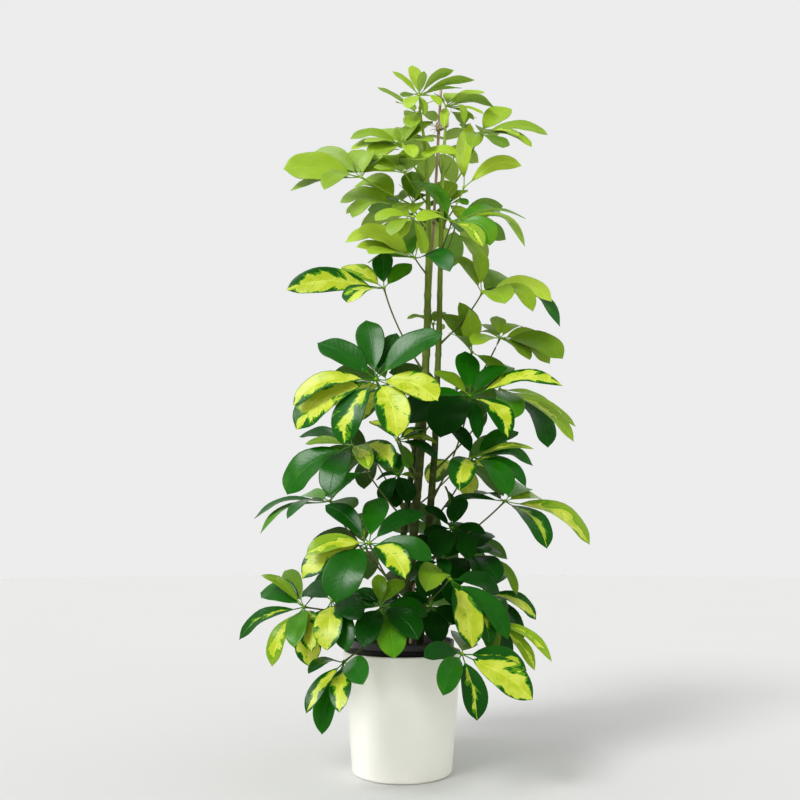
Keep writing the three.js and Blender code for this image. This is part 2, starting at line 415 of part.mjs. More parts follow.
// The soil fills the grower's pot and rises to a low mound, with a plain hole for each stem.
function soil(holes) {
  const bottom = GROWER_BOTTOM + GROWER_WALL + GAP;
  const foot = GROWER_BASE_RADIUS - GROWER_WALL;
  const slope = (GROWER_INSIDE - foot) / (GROWER_TOP - GROWER_RIM_EDGE - bottom);
  const side = (z) => foot + slope * (z - bottom) - 2 * GAP;
  const body = solidOf(lathe([
    [0, bottom], [side(bottom), bottom], [side(SOIL_TOP), SOIL_TOP],
    [0.62 * side(SOIL_TOP), SOIL_TOP + 0.7 * SOIL_MOUND], [0, SOIL_TOP + SOIL_MOUND],
  ], SOIL_SEGMENTS));
  return holes.reduce((left, hole) => left.subtract(hole), body);
}

// ---------------------------------------------------------------- stems, stake and tie
const STEM_SIDES = 7;
const STEM_STEPS = 10;
const EAST = new THREE.Vector3(1, 0, 0);
const NORTH = new THREE.Vector3(0, 1, 0);

// A stem as a chain of [middle, radius] joints from its foot in the soil to its tip.
function stemJoints(rows) {
  const points = rows.map(([column, row, depth]) => seen([column, row], depth));
  const foot = points[0].clone();
  foot.z = SOIL_TOP - STEM_SUNK;
  const curve = new THREE.CatmullRomCurve3([foot, ...points], false, "centripetal");
  const radii = [rows[0][3], ...rows.map((row) => row[3])];
  return Array.from({ length: STEM_STEPS + 1 }, (_, k) => {
    const place = (k / STEM_STEPS) * rows.length;
    const step = Math.min(Math.floor(place), rows.length - 1);
    const radius = THREE.MathUtils.lerp(radii[step], radii[step + 1], place - step);
    return { middle: curve.getPoint(k / STEM_STEPS), radius };
  });
}

const stemChains = Object.fromEntries(
  Object.entries(STEMS).map(([name, rows]) => [name, stemJoints(rows)]),
);

function stem(name, extra) {
  return loft(stemChains[name].map(({ middle, radius }, k) => {
    const centre = middle.clone().addScaledVector(UP, k === 0 ? -extra : 0);
    return roundRing(centre, EAST, NORTH, radius + extra, STEM_SIDES);
  }));
}

function stake(extra) {
  const [foot, tip] = STAKE.map(([column, row, depth]) => seen([column, row], depth));
  const along = tip.clone().sub(foot).normalize();
  foot.addScaledVector(along, -(foot.z - SOIL_TOP + STEM_SUNK + extra) / along.z);
  return loft([foot, tip].map((end) => roundRing(end, EAST, NORTH, STAKE_RADIUS + extra, STAKE_SIDES)));
}

// The middle and thickness of a stem at the height that shows at a row.
function stemAt(name, row) {
  const height = seen([STEMS[name][0][0], row], 0).z;
  const chain = stemChains[name];
  const above = Math.max(chain.findIndex(({ middle }) => middle.z > height), 1);
  const [low, high] = [chain[above - 1], chain[above]];
  const share = (height - low.middle.z) / (high.middle.z - low.middle.z);
  return {
    middle: low.middle.clone().lerp(high.middle, share),
    radius: THREE.MathUtils.lerp(low.radius, high.radius, share),
  };
}

// A band of raffia round the stake and the stem beside it, with a few frayed ends.
function tie() {
  const stakeLine = STAKE.map(([column, row, depth]) => seen([column, row], depth));
  const stemPlace = stemAt("right", TIE_ROW).middle;
  const share = (stemPlace.z - stakeLine[0].z) / (stakeLine[1].z - stakeLine[0].z);
  const stakePlace = stakeLine[0].clone().lerp(stakeLine[1], share);
  const centre = stakePlace.clone().lerp(stemPlace, 0.5);
  const along = stemPlace.clone().sub(stakePlace).setZ(0);
  const halfLength = along.length() / 2 + STAKE_RADIUS + TIE_ROOM;
  const sideways = along.normalize();
  const across = new THREE.Vector3().crossVectors(UP, sideways);
  const outline = (grow, lift) => Array.from({ length: TIE_SIDES }, (_, k) => {
    const angle = (2 * Math.PI * k) / TIE_SIDES;
    const blunt = Math.sign(Math.cos(angle)) * Math.abs(Math.cos(angle)) ** 0.7;
    return centre.clone()
      .addScaledVector(sideways, (halfLength + grow) * blunt)
      .addScaledVector(across, (STAKE_RADIUS + TIE_ROOM + grow) * Math.sin(angle))
      .addScaledVector(UP, lift);
  });
  const band = solidOf(loft([
    outline(TIE_THICKNESS, -TIE_HALF_HEIGHT), outline(TIE_THICKNESS + TIE_BULGE, 0),
    outline(TIE_THICKNESS, TIE_HALF_HEIGHT),
  ]));
  const hole = solidOf(loft([outline(0, -TIE_HALF_HEIGHT - 1), outline(0, TIE_HALF_HEIGHT + 1)]));
  return FRAYS.reduce((whole, [x, y, z]) => {
    const root = centre.clone()
      .addScaledVector(sideways, Math.sign(x) * (halfLength + TIE_THICKNESS / 2))
      .addScaledVector(UP, z / 3);
    const tip = root.clone().add(new THREE.Vector3(x, y, z));
    return whole.add(solidOf(loft([roundRing(root, across, UP, FRAY_RADIUS, 3), [tip]])));
  }, band.subtract(hole));
}

// ---------------------------------------------------------------- leaves
// The petiole leaves its stem outwards and bows up to the hub. A last leaf stands on its stem's tip.
function petiolePath(leaf, hub, slide) {
  if (leaf.joins === TIP) {
    const root = stemChains[leaf.stem].at(-1).middle.clone().addScaledVector(UP, GAP);
    const control = root.clone().lerp(hub, 0.5).setX(root.x);
    return { curve: new THREE.QuadraticBezierCurve3(root, control, hub), sideways: EAST, upwards: NORTH };
  }
  const { middle, radius } = stemAt(leaf.stem, leaf.joins + slide * SHEATH_STEP);
  const outward = hub.clone().sub(middle).setZ(0).normalize();
  const root = middle.clone().addScaledVector(outward, radius + GAP);
  const length = root.distanceTo(hub);
  const control = root.clone().lerp(hub, 0.5).addScaledVector(outward, PETIOLE_BOW * length);
  const sideways = new THREE.Vector3().crossVectors(outward, UP);
  return { curve: new THREE.QuadraticBezierCurve3(root, control, hub), sideways, upwards: UP };
}

function petiole(leaf, hub, slide, extra) {
  const { curve, sideways, upwards } = petiolePath(leaf, hub, slide);
  const ringAt = (share) => {
    const tangent = curve.getTangent(share);
    const over = acrossFrom(UP, tangent);
    return roundRing(curve.getPoint(share), new THREE.Vector3().crossVectors(tangent, over), over,
      PETIOLE_RADIUS + extra, 4);
  };
  const sheath = roundRing(curve.getPoint(0), sideways, upwards, SHEATH_RADIUS, 4);
  return loft([sheath, ringAt(0.12), ringAt(0.55), ringAt(1)]);
}

// Half the blade's width at a share of its length: a wedge below, widest past the middle, blunt tip.
function halfWidth(share) {
  const spread = (at) => at ** WEDGE_POWER * (1 - at) ** TIP_POWER;
  return spread(share) / spread(WEDGE_POWER / (WEDGE_POWER + TIP_POWER));
}

// Where a blade has its cross-sections. Small blades and those that only show from behind have fewer.
const BLADE_SHARES = [0.3, 0.62, 0.88];
const PLAIN_SHARES = [0.36, 0.8];
const PLAIN_REACH = 95;
const HIDDEN_ROW = [0, 0, 0, 10];

function leaflet(leaf, hub, tip, row, extra, withStalk) {
  const [, , , bow = 8, twist = 0, width = 1] = row;
  const chord = tip.clone().sub(hub);
  const length = chord.length();
  const lift = acrossFrom(UP, chord.clone().normalize()).multiplyScalar((length * bow) / 100);
  const face = new THREE.Vector3(...leaf.face).normalize();
  const centreAt = (s) => hub.clone().addScaledVector(chord, s)
    .addScaledVector(lift, Math.sin(Math.PI * s ** 1.3));
  const ringAt = (s, half, thick) => {
    const tangent = centreAt(Math.min(s + 0.01, 1)).sub(centreAt(s - 0.01)).normalize();
    const normal = acrossFrom(face, tangent).applyAxisAngle(tangent, THREE.MathUtils.degToRad(twist));
    const across = new THREE.Vector3().crossVectors(tangent, normal);
    const centre = centreAt(s);
    const edge = (sign) => centre.clone().addScaledVector(across, sign * half)
      .addScaledVector(normal, BLADE_FOLD * half);
    return [edge(1), centre.clone().addScaledVector(normal, thick), edge(-1),
      centre.clone().addScaledVector(normal, -thick)];
  };
  const thick = BLADE_THICKNESS / 2 + extra;
  const widest = 0.5 * BLADE_WIDTH_SHARE * width * length * (1 - STALK_SHARE);
  const rings = withStalk ? [[hub.clone().addScaledVector(chord, -ROOT_BEHIND_HUB / length)]] : [];
  rings.push(ringAt(STALK_SHARE, STALK_HALF_WIDTH + extra, STALK_HALF_WIDTH + extra));
  const shares = row !== HIDDEN_ROW && leaf.reach > PLAIN_REACH ? BLADE_SHARES : PLAIN_SHARES;
  shares.forEach((share) => {
    const s = STALK_SHARE + (1 - STALK_SHARE) * share;
    rings.push(ringAt(s, widest * halfWidth(share) + extra, thick));
  });
  rings.push([centreAt(1).addScaledVector(chord, extra / length)]);
  return loft(rings);
}

// Leaflets that only show from behind stand at an angle in the whorl's own plane.
function hiddenTip(leaf, hub, angle, bend) {
  const face = new THREE.Vector3(...leaf.face).normalize();
  const right = acrossFrom(EAST, face);
  const back = new THREE.Vector3().crossVectors(face, right);
  const turn = THREE.MathUtils.degToRad(angle);
  return hub.clone()
    .addScaledVector(right, leaf.reach * Math.cos(turn))
    .addScaledVector(back, leaf.reach * Math.sin(turn))
    .addScaledVector(UP, bend * BEND_STEP);
}

// The first of the steps 0, 1, -1, 2, -2 and so on that leaves the piece clear of all that stands.
function firstClear(name, steps, isFree) {
  const tries = Array.from({ length: 2 * steps + 1 }, (_, k) => (k % 2 ? 1 : -1) * Math.ceil(k / 2));
  const found = tries.find(isFree);
  if (found === undefined) throw new Error(`${name} finds no clear place`);
  return found;
}

function standPetiole(leaf) {
  const hub = seen(leaf.hub, leaf.depth);
  const slide = firstClear(`the petiole of ${leaf.name}`, SHEATH_STEPS, (step) => (
    isClear(solidOf(petiole(leaf, hub, step, CLEARANCE)), leaf.name)));
  const stalk = solidOf(petiole(leaf, hub, slide, 0));
  const knob = solidOf(new THREE.OctahedronGeometry(HUB_RADIUS).translate(hub.x, hub.y, hub.z));
  stand(leaf.name, stalk);
  stand(leaf.name, knob);
  leaf.solid = stalk.add(knob);
}

function standLeaflets(leaf) {
  const hub = seen(leaf.hub, leaf.depth);
  const blades = [];
  const wanted = [
    ...leaf.tips.map((row) => ({ row, at: (bend) => tipPoint(hub, leaf.reach, row, bend) })),
    ...leaf.rest.map((angle) => ({ row: HIDDEN_ROW, at: (bend) => hiddenTip(leaf, hub, angle, bend) })),
  ];
  wanted.forEach(({ row, at }, place) => {
    const bend = firstClear(`leaflet ${place} of ${leaf.name}`, BEND_STEPS, (step) => {
      const fat = solidOf(leaflet(leaf, hub, at(step), row, CLEARANCE, false));
      const fatWhole = solidOf(leaflet(leaf, hub, at(step), row, CLEARANCE, true));
      return isClear(fatWhole, leaf.name) && blades.every((blade) => blade.intersect(fat).isEmpty());
    });
    const tip = at(bend);
    blades.push(solidOf(leaflet(leaf, hub, tip, row, 0, false)));
    const whole = solidOf(leaflet(leaf, hub, tip, row, 0, true));
    leaf.solid = leaf.solid.add(whole);
    stand(leaf.name, whole);
  });
}

// ---------------------------------------------------------------- finishes and the assembly
const FINISHES = {
  pot: { color: 0xf2f1ec, roughness: 0.35 },
  grower: { color: 0x141414, roughness: 0.55 },
  soil: { color: 0x241a12, roughness: 1 },
  stem: { color: 0x5d6332, roughness: 0.7 },
  stake: { color: 0xb58f68, roughness: 0.8 },
  raffia: { color: 0xe6d5ae, roughness: 0.9 },
  lime: { color: 0x8fb52a, roughness: 0.45 },
  mid: { color: 0x6c9632, roughness: 0.45 },
  olive: { color: 0x5c7022, roughness: 0.5 },
  gold: { color: 0xa9b82c, roughness: 0.4 },
  green: { color: 0x14501a, roughness: 0.35 },
};

const plant = new THREE.Group();

function addPiece(name, finish, solid) {
  const mesh = new THREE.Mesh(geometryOf(solid), new THREE.MeshStandardMaterial(FINISHES[finish]));
  mesh.name = name;
  plant.add(mesh);
}

const stemSolids = Object.keys(STEMS).map((name) => ({
  name: `stem_${name}`,
  solid: solidOf(stem(name, 0)),
  hole: solidOf(stem(name, 2 * GAP)),
}));
const stakeSolid = solidOf(stake(0));
const holes = [...stemSolids.map(({ hole }) => hole), solidOf(stake(2 * GAP))];

const pieces = [
  ["cover_pot", "pot", solidOf(coverPot())],
  ["grower_pot", "grower", solidOf(growerPot())],
  ["soil", "soil", soil(holes)],
  ...stemSolids.map(({ name, solid }) => [name, "stem", solid]),
  ["stake", "stake", stakeSolid],
  ["raffia_tie", "raffia", tie()],
];
pieces.forEach(([name, finish, solid]) => {
  addPiece(name, finish, solid);
  stand(name, solid);
});

LEAVES.forEach(standPetiole);
LEAVES.forEach(standLeaflets);
LEAVES.forEach((leaf) => addPiece(`leaf_${leaf.name}`, leaf.tone, leaf.solid));

export default plant;
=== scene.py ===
"""Potted umbrella plant: fine leaves, stems, pots and a plain studio on the packed frame. Metres, +Z up."""

from collections import namedtuple

import bpy
import numpy as np
from bpy.props import FloatProperty, FloatVectorProperty, IntProperty, PointerProperty
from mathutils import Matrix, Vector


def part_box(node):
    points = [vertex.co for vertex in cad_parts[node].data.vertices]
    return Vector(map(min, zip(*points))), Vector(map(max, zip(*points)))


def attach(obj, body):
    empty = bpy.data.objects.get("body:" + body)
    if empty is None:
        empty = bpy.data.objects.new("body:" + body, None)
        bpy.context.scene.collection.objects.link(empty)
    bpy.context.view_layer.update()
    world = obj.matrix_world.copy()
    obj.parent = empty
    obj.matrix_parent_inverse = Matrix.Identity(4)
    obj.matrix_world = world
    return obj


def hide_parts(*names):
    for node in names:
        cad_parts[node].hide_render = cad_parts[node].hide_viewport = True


bl_info = {
    "name": "Potted Umbrella Plant",
    "version": (1, 0, 0),
    "blender": (4, 5, 0),
    "location": "3D View > Sidebar > Plant",
    "description": "Dresses the frame of a potted umbrella plant with fine leaves, stems, pots and a studio",
    "category": "Object",
}

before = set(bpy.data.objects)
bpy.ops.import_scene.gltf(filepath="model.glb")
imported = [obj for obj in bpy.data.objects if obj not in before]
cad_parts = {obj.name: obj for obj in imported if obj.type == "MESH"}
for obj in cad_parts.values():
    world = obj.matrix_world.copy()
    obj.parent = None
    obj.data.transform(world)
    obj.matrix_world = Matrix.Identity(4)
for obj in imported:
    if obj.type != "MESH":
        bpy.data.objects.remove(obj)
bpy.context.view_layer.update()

BODY = "root"
MM = 0.001
UP = np.array((0.0, 0.0, 1.0))
EAST = np.array((1.0, 0.0, 0.0))

# Places on the plant are given as they show from the front: column and row in an 800 by 800 view, and
# depth in millimetres behind the pot's axis. The eye stands here and looks slightly upwards.
VIEW_MIDDLE = 400
VIEW_FOCAL = 800
EYE = np.array((-0.003, -1.199, 0.305))
EYE_TILT = np.radians(10.6)

# Heights in metres that the pieces share.
GROWER_TOP = 0.178
SOIL_TOP = 0.166
STEM_FOOT = 0.121
GAP = 0.35 * MM

# Stems from the soil to the tip: column, row, depth and radius.
STEMS = {
    "tall": ((404, 636, -10, 7.5), (411, 560, -10, 7), (420, 460, -8, 6.6), (427, 330, -6, 6.2),
             (428, 195, -6, 3.9), (424, 140, -6, 2.7), (420, 112, -6, 2)),
    "right": ((420, 636, 8, 6.5), (427, 550, 4, 6.2), (434, 460, 0, 5.4), (439, 330, -2, 4.8),
              (442, 195, -4, 3.8), (444, 150, -4, 2.7), (446, 117, -4, 2)),
    "low": ((390, 636, 22, 6), (400, 560, 24, 5.6), (412, 470, 24, 5), (420, 405, 24, 4)),
}
STEM_STEPS = 10
STAKE = ((411, 636, 26), (441, 89, 8))
STAKE_RADIUS = 2.6 * MM
STAKE_KNOTS = (0.23, 0.41, 0.585, 0.75, 0.915)
TIE_ROW = 124
TIP = "tip"

# How a leaf's blades are bent and its petiole slid until they are clear, as the frame has them: the size
# of a step in millimetres and the most steps each way.
BEND_STEP = 6
BEND_STEPS = 11
SHEATH_STEP = 7
SHEATH_STEPS = 5
PETIOLE_BOW = 0.1
SHEATH_RADIUS = 2.4 * MM
CLOSE_ENOUGH = 0.3 * MM

Leaf = namedtuple("Leaf", "name tone stem joins hub depth reach face looks tips rest", defaults=((),))

# Leaves from the top down. joins is the row where the petiole leaves its stem, hub and depth place the
# whorl, reach is the length from hub to tip in millimetres, and face is the way the whorl's upper side
# looks. looks has a letter of LOOKS for each leaflet. Each tip is column, row, side, bow, twist and width:
# side -1 reaches towards the front and 1 towards the back, bow is the arch's height in hundredths of the
# length, twist turns the blade about its midrib in degrees and width scales its breadth. rest has leaflets
# that only show from behind, as angles in degrees.
LEAVES = (
    Leaf("crown_left", "lime", "tall", TIP, (419, 95), -8, 62, (0, -0.4, 1), "PLLLLAALLA",
         ((412, 65, 1, 3), (424, 71, -0.3, 3), (392, 71, 0.5, 4, -30, 0.85), (454, 70, 1, 12, -20, 0.95),
          (475, 80, 0.5, 8, -15, 0.75), (462, 88, -0.6, 5, 0, 0.7), (403, 97, 1, 5, 0, 1.1),
          (408, 109, -1, 8), (440, 106, -1, 12, 0, 0.8), (425, 115, -0.8, 8, 0, 0.6))),
    Leaf("crown_low", "lime", "tall", 128, (417, 113), 6, 68, (0, -0.3, 1), "LALLLL",
         ((377, 87, 0.5, 4, 0, 0.7), (411, 128, -1, 6, 0, 1.1), (398, 103, 1, 5, 0, 1.1),
          (434, 101, 0.6, 6, 0, 1.1)),
         (60, 100)),
    Leaf("crown_right", "lime", "right", TIP, (446, 106), -6, 72, (0.1, -0.4, 1), "ALLALALA",
         ((434, 93, 1, 5, 0, 0.9), (459, 93, 1, 6, 0, 1.1), (485, 92, 1, 8, 28, 0.9),
          (494, 107, -0.5, 16, -20, 0.9), (484, 114, -1, 6, 15, 0.6), (464, 124, -1, 24, 0, 0.5),
          (444, 128, -1, 10, 0, 0.5), (474, 120, -0.7, 8, 20, 0.9))),
    Leaf("upper_fold", "lime", "right", 176, (463, 127), 4, 50, (0, -0.5, 1), "AAOO",
         ((455, 112, 1, 12, 0, 1.2), (477, 118, 0.5, 25, 0, 1.1), (462, 116, -1, 6, 0, 1.1)),
         (80,)),
    Leaf("upper_right", "lime", "right", 200, (479, 133), -8, 98, (0.2, -0.5, 0.9), "LALOAvAA",
         ((512, 109, 0.6, 8, 25, 1.2), (548, 135, 0.6, 12, 25, 0.8), (532, 147, -1, 12, 15, 0.8),
          (503, 148, -1, 4, 0, 1.1), (472, 148, -1, 8, 0, 0.8), (520, 137, -0.4, 10, 15, 0.8)),
         (70, 120)),
    Leaf("upper_stalk", "lime", "right", 226, (464, 187), -14, 98, (-0.5, -0.8, 0.3), "PP",
         ((470, 123, 0.3, 4, 0, 0.7), (522, 166, 0.3, 20, 30, 0.62))),
    Leaf("upper_mid", "lime", "tall", 182, (403, 145), 8, 86, (-0.1, -0.5, 0.9), "ALLAAALALAL",
         ((350, 139, 0.5, 16, -25, 0.9), (377, 129, 1, 5, 0, 1.1), (364, 142, -0.8, 6, -15, 0.8),
          (397, 127, 1, 6, 0, 0.7), (417, 122, 1, 8, 0, 1.1), (433, 121, 0.4, 6, 15, 0.8),
          (350, 149, -0.6, 8, -20), (372, 160, -1, 10, -20, 1.2), (414, 158, -1, 8, 0, 0.7),
          (432, 142, -0.4, 8, 0, 1.1)),
         (30,)),
    Leaf("upper_centre", "lime", "tall", 205, (405, 173), -24, 92, (0, -0.5, 0.9), "LPLAALL",
         ((344, 171, 0.6, 8, -28), (386, 155, -1, 8, 0, 1.1), (461, 154, -0.4, 20, 20, 0.9),
          (380, 170, -1, 6, 0, 1.1), (418, 160, -1, 8, 0, 1.1), (402, 150, 0.2, 6, 0, 1.1),
          (362, 160, 0.3, 6, -20, 0.9))),
    Leaf("upper_left", "lime", "tall", 214, (361, 177), -50, 118, (-0.25, -0.7, 0.6), "LAAAAAA",
         ((283, 169, -0.5, 6, -25, 1.2), (310, 155, 0.7, 14, -20, 0.75), (290, 191, -0.8, 8, 0, 0.65),
          (324, 190, -1, 12, -20, 0.65), (352, 150, 0.8, 4, 0, 1.1), (374, 150, 0.8, 8, 0, 1.1)),
         (60,)),
    Leaf("left_arch", "mid", "tall", 224, (398, 204), 8, 92, (-0.2, -0.5, 0.9), "AAAAMA",
         ((354, 187, 1, 24, -20, 1.1), (340, 203, 0.4, 16, -25, 1.1), (346, 214, -0.6, 14, -15, 0.9),
          (352, 218, -1, 16, -15, 0.9)),
         (100, 60)),
    Leaf("neck_left", "mid", "tall", 232, (413, 203), 16, 62, (0, -0.6, 0.8), "OAAAM",
         ((412, 171, 1, 4, 0, 1.5), (399, 184, 0.6, 4, 0, 1.1), (428, 184, 1, 6, 0, 1.1),
          (397, 214, -0.8, 8, 0, 1.3)),
         (60,)),
    Leaf("neck_right", "mid", "right", 232, (449, 204), 20, 58, (0, -0.6, 0.8), "AMAMAAMG",
         ((445, 180, 1, 5, 0, 1.5), (468, 205, -0.4, 16, 15, 1.15), (433, 184, 1, 6, 0, 1.2),
          (428, 206, -0.4, 14, -15, 1.2), (468, 190, 0.7, 8, 0, 1.1), (464, 222, -1, 10, 0, 1.1),
          (440, 224, -1, 10, 0, 1.1)),
         (90,)),
    Leaf("mid_bright", "lime", "tall", 244, (413, 217), -70, 70, (-0.2, -0.6, 0.75), "LAPPAAA",
         ((375, 221, -0.5, 14, -15, 1.15), (391, 236, -1, 10, 0, 1.1), (402, 238, -0.8, 8, 0, 1.1),
          (442, 213, 0.4, 8, 0, 1.3), (426, 254, -0.6, 4, 0, 0.65)),
         (80, 130)),
    Leaf("right_gold", "gold", "right", 252, (452, 221), -64, 96, (0.25, -0.6, 0.75), "LvMvOMMM",
         ((417, 221, -0.5, 12, 0, 1.1), (483, 247, -1, 10, 20, 0.62), (490, 246, -0.6, 22, 25, 1.2),
          (525, 247, -0.6, 28, 0, 0.6), (526, 219, 0.6, 14, 0, 0.4), (508, 218, 1, 18, 0, 0.7)),
         (80, 130)),
    # The first three leaflets are palest lime where the light catches them: painted sheen.
    Leaf("left_pale", "mid", "tall", 276, (415, 258), -30, 104, (-0.3, -0.6, 0.75), "PPPLLGMM",
         ((345, 243, 0.6, 24, -15, 0.9), (357, 232, -0.4, 12, -25, 1.2), (356, 247, -0.8, 6, -15),
          (369, 254, -1, 6, -15), (424, 226, 0.4, 2, 0, 0.6), (450, 272, -1, 16, 0, 0.8)),
         (105, 140)),
    Leaf("gold_long", "gold", "tall", 372, (384, 288), -36, 84, (-0.2, -0.65, 0.7), "VvVGM",
         ((286, 290, -0.5, 9, -35, 0.75), (341, 267, 1, 6, 0, 1.1), (347, 303, -1, 12, 0, 1.3),
          (382, 252, 0.8, 4, 0, 1.1), (412, 264, 0.4, 4, 20, 1.2))),
    Leaf("right_arch", "olive", "right", 344, (482, 293), -6, 104, (0.3, -0.6, 0.75), "AAOAAPGM",
         ((456, 234, 0.8, 18, 0, 0.95), (445, 256, 1, 14, 0, 1.2), (510, 279, 1, 12, 0, 1.1),
          (505, 304, -1, 12, 25, 1.1), (533, 312, -0.8, 24, 15, 0.85), (552, 302, 0.6, 20, 15),
          (560, 327, -0.4, 24, 0, 0.75)),
         (60,)),
    Leaf("right_olive", "olive", "right", 420, (472, 352), 6, 72, (0, -0.6, 0.8), "OOAOO",
         ((442, 314, 0.8, 10, 0, 1.3), (459, 302, 1, 8, 0, 1.1), (469, 309, 0.3, 4, 0, 1.3),
          (451, 334, -1, 8, 0, 1.1), (500, 384, -0.8, 16, 0, 1.1))),
    Leaf("right_small", "olive", "right", 428, (500, 338), 10, 78, (0.1, -0.5, 0.9), "AAAOAOAAO",
         ((486, 324, 1, 3, 0, 1.1), (497, 316, 1, 3, 0, 0.9), (523, 327, 1, 14, 0, 0.9),
          (478, 332, 0.8, 10, 0, 1.1), (546, 344, 0.6, 14, 20, 1.2), (563, 359, -0.4, 12, 20, 1.2),
          (550, 364, -1, 12, 15, 1.1), (473, 345, -1, 8, 0, 1.1), (530, 360, -0.9, 8))),
    Leaf("stub", "olive", "right", 352, (433, 324), 32, 52, (0, -0.5, 0.8), "AOAO",
         ((407, 319, -0.5, 16, 0, 1.1), (444, 312, 1, 8, 0, 1.1)),
         (70, 110)),
    Leaf("hero_upper", "gold", "tall", 478, (376, 379), -130, 108, (-0.1, -0.75, 0.62), "GGDGYYVYY",
         ((317, 343, 0.8, 6, 0, 1.08), (366, 320, 1, 4, 0, 0.9), (397, 333, 1, 6, 0, 0.6),
          (443, 334, 0.8, 8, 0, 1.25), (438, 401, -0.8, 10, 0, 1.15), (397, 438, -1, 12, 0, 1.05),
          (344, 446, -1, 12), (296, 430, -0.8, 12, 0, 1.15), (293, 406, -0.5, 16, 0, 0.75))),
    Leaf("left_mid", "green", "tall", 528, (352, 445), -66, 104, (-0.2, -0.65, 0.7), "DOGGvVG",
         ((299, 437, 0.8, 12, 0, 0.65), (305, 444, 0.4, 8, 0, 0.7), (287, 495, -0.8, 12, 0, 1.35),
          (329, 496, -1, 12), (369, 470, -1, 10, 0, 0.6), (393, 469, -1, 12, 0, 0.9)),
         (100,)),
    Leaf("inner_gold", "gold", "tall", 482, (397, 440), -34, 66, (0.1, -0.6, 0.8), "vDMHVG",
         ((437, 443, 0.6, 12, 0, 0.8), (438, 459, -0.8, 10, 0, 0.95), (408, 469, -1, 10, 0, 1.1),
          (425, 430, 0.8, 8, 0, 1.1)),
         (130, 90)),
    Leaf("right_broad", "green", "right", 498, (470, 396), -30, 112, (0.1, -0.6, 0.75), "GOVGVKKDG",
         ((465, 351, 1, 4, 0, 1.08), (434, 371, 1, 6, 0, 1.1), (563, 386, 0.4, 14, 0, 0.8),
          (508, 367, 1, 10, 0, 1.1), (508, 438, -1, 16, 0, 0.85), (405, 424, -0.6, 14, 0, 1.4),
          (440, 438, -1, 14, 0, 1.3), (478, 440, -1, 10, 0, 0.5), (424, 398, -0.2, 8, 0, 1.1))),
    Leaf("right_lime", "gold", "right", 470, (500, 389), 26, 102, (0.25, -0.6, 0.75), "MGvvAM",
         ((514, 419, -1, 10, 0, 1.1), (548, 448, -0.9, 16, 0, 1.15), (576, 427, 0.6, 8, 0, 0.5),
          (574, 442, -0.4, 10, 0, 0.55), (553, 404, 1, 6, 0, 0.5)),
         (80,)),
    Leaf("right_fan", "green", "right", 524, (473, 457), -54, 90, (0.15, -0.6, 0.8), "VGGGGvD",
         ((459, 491, -1, 18, 0, 1.05), (533, 466, 0.5, 18, 0, 0.9), (508, 496, -1, 16, 0, 1.05),
          (526, 487, -0.6, 16, 0, 0.75), (519, 432, 1, 8, 0, 0.85), (534, 449, 1, 10, 0, 0.5),
          (452, 424, 1, 4, 0, 1.1))),
    Leaf("inner_shade", "green", "low", 520, (398, 474), -6, 60, (0, -0.6, 0.8), "DKODKD",
         ((383, 503, -1, 10, 0, 1.2), (409, 503, -1, 8, 0, 1.2), (422, 482, 0.3, 8, 0, 1.1),
          (376, 480, 0.5, 8, 0, 1.1), (396, 508, -1, 10, 0, 1.2)),
         (90,)),
    Leaf("hero_lower", "gold", "tall", 604, (369, 543), -136, 98, (-0.05, -0.75, 0.65), "DGDGVGVv",
         ((325, 505, 0.9, 8, 0, 0.8), (380, 497, 1, 4, 0, 0.9), (424, 513, 0.8, 8, 0, 0.8),
          (432, 561, -0.5, 10, 0, 0.95), (406, 579, -1, 12, 0, 0.92), (336, 603, -1, 12, 0, 1.35),
          (302, 579, -0.8, 12, 0, 0.95), (306, 554, -0.4, 10, 0, 0.85))),
    Leaf("left_thin", "green", "low", 585, (330, 501), -20, 112, (-0.3, -0.35, 0.9), "GMGMGGG",
         ((254, 519, -0.5, 14, 0, 0.6), (260, 534, -0.9, 16, 0, 0.55), (287, 519, -1, 12, 0, 0.6),
          (299, 497, 1, 6, 0, 0.7), (339, 487, 1, 5, 0, 1.2), (352, 510, 0.8, 6, 0, 1.1)),
         (60,)),
    Leaf("left_low", "green", "low", 618, (304, 607), -50, 94, (-0.35, -0.55, 0.75), "GOOHvMVD",
         ((260, 593, 0.8, 12, 0, 1.2), (261, 575, 0.5, 10, 0, 0.45), (284, 571, 1, 8, 0, 0.7),
          (239, 640, -0.4, 14, 0, 0.78), (272, 667, -0.8, 14, 0, 0.85), (294, 648, -1, 12, 0, 0.85),
          (312, 652, -1, 12, 0, 0.85)),
         (40,)),
    Leaf("left_low_gold", "gold", "tall", 624, (332, 600), -92, 84, (-0.2, -0.7, 0.65), "DVVGDDG",
         ((303, 591, 1, 8, 0, 1.1), (309, 667, -0.6, 12, 0, 1.1), (327, 651, -1, 12, 0, 1.15),
          (347, 652, -1, 10, 0, 0.9), (360, 620, -0.6, 10, 0, 1.2), (362, 596, 0.6, 8, 0, 1.1)),
         (90,)),
    Leaf("pot_front", "green", "tall", 630, (381, 606), -100, 82, (0, -0.65, 0.75), "MGDGOODDD",
         ((394, 659, -1, 12, 0, 1.2), (346, 612, 0.6, 10, 0, 1.1), (356, 590, 1, 6, 0, 1.1),
          (428, 617, 0.5, 12, 0, 1.1), (378, 574, 1, 6, 0, 1.1), (404, 580, 1, 8, 0, 1.1),
          (364, 648, -0.9, 12, 0, 1.1), (418, 640, -0.8, 10, 0, 1.2)),
         (70,)),
    Leaf("pot_left", "green", "tall", 634, (344, 662), -124, 92, (-0.2, -0.75, 0.5), "DVGVG",
         ((308, 674, -1, 10, 0, 0.5), (306, 714, -0.6, 10, 0, 0.6), (322, 735, -0.3, 10, 0, 0.8),
          (339, 713, -1, 10, 0, 0.75), (363, 685, -1, 10, 0, 0.85))),
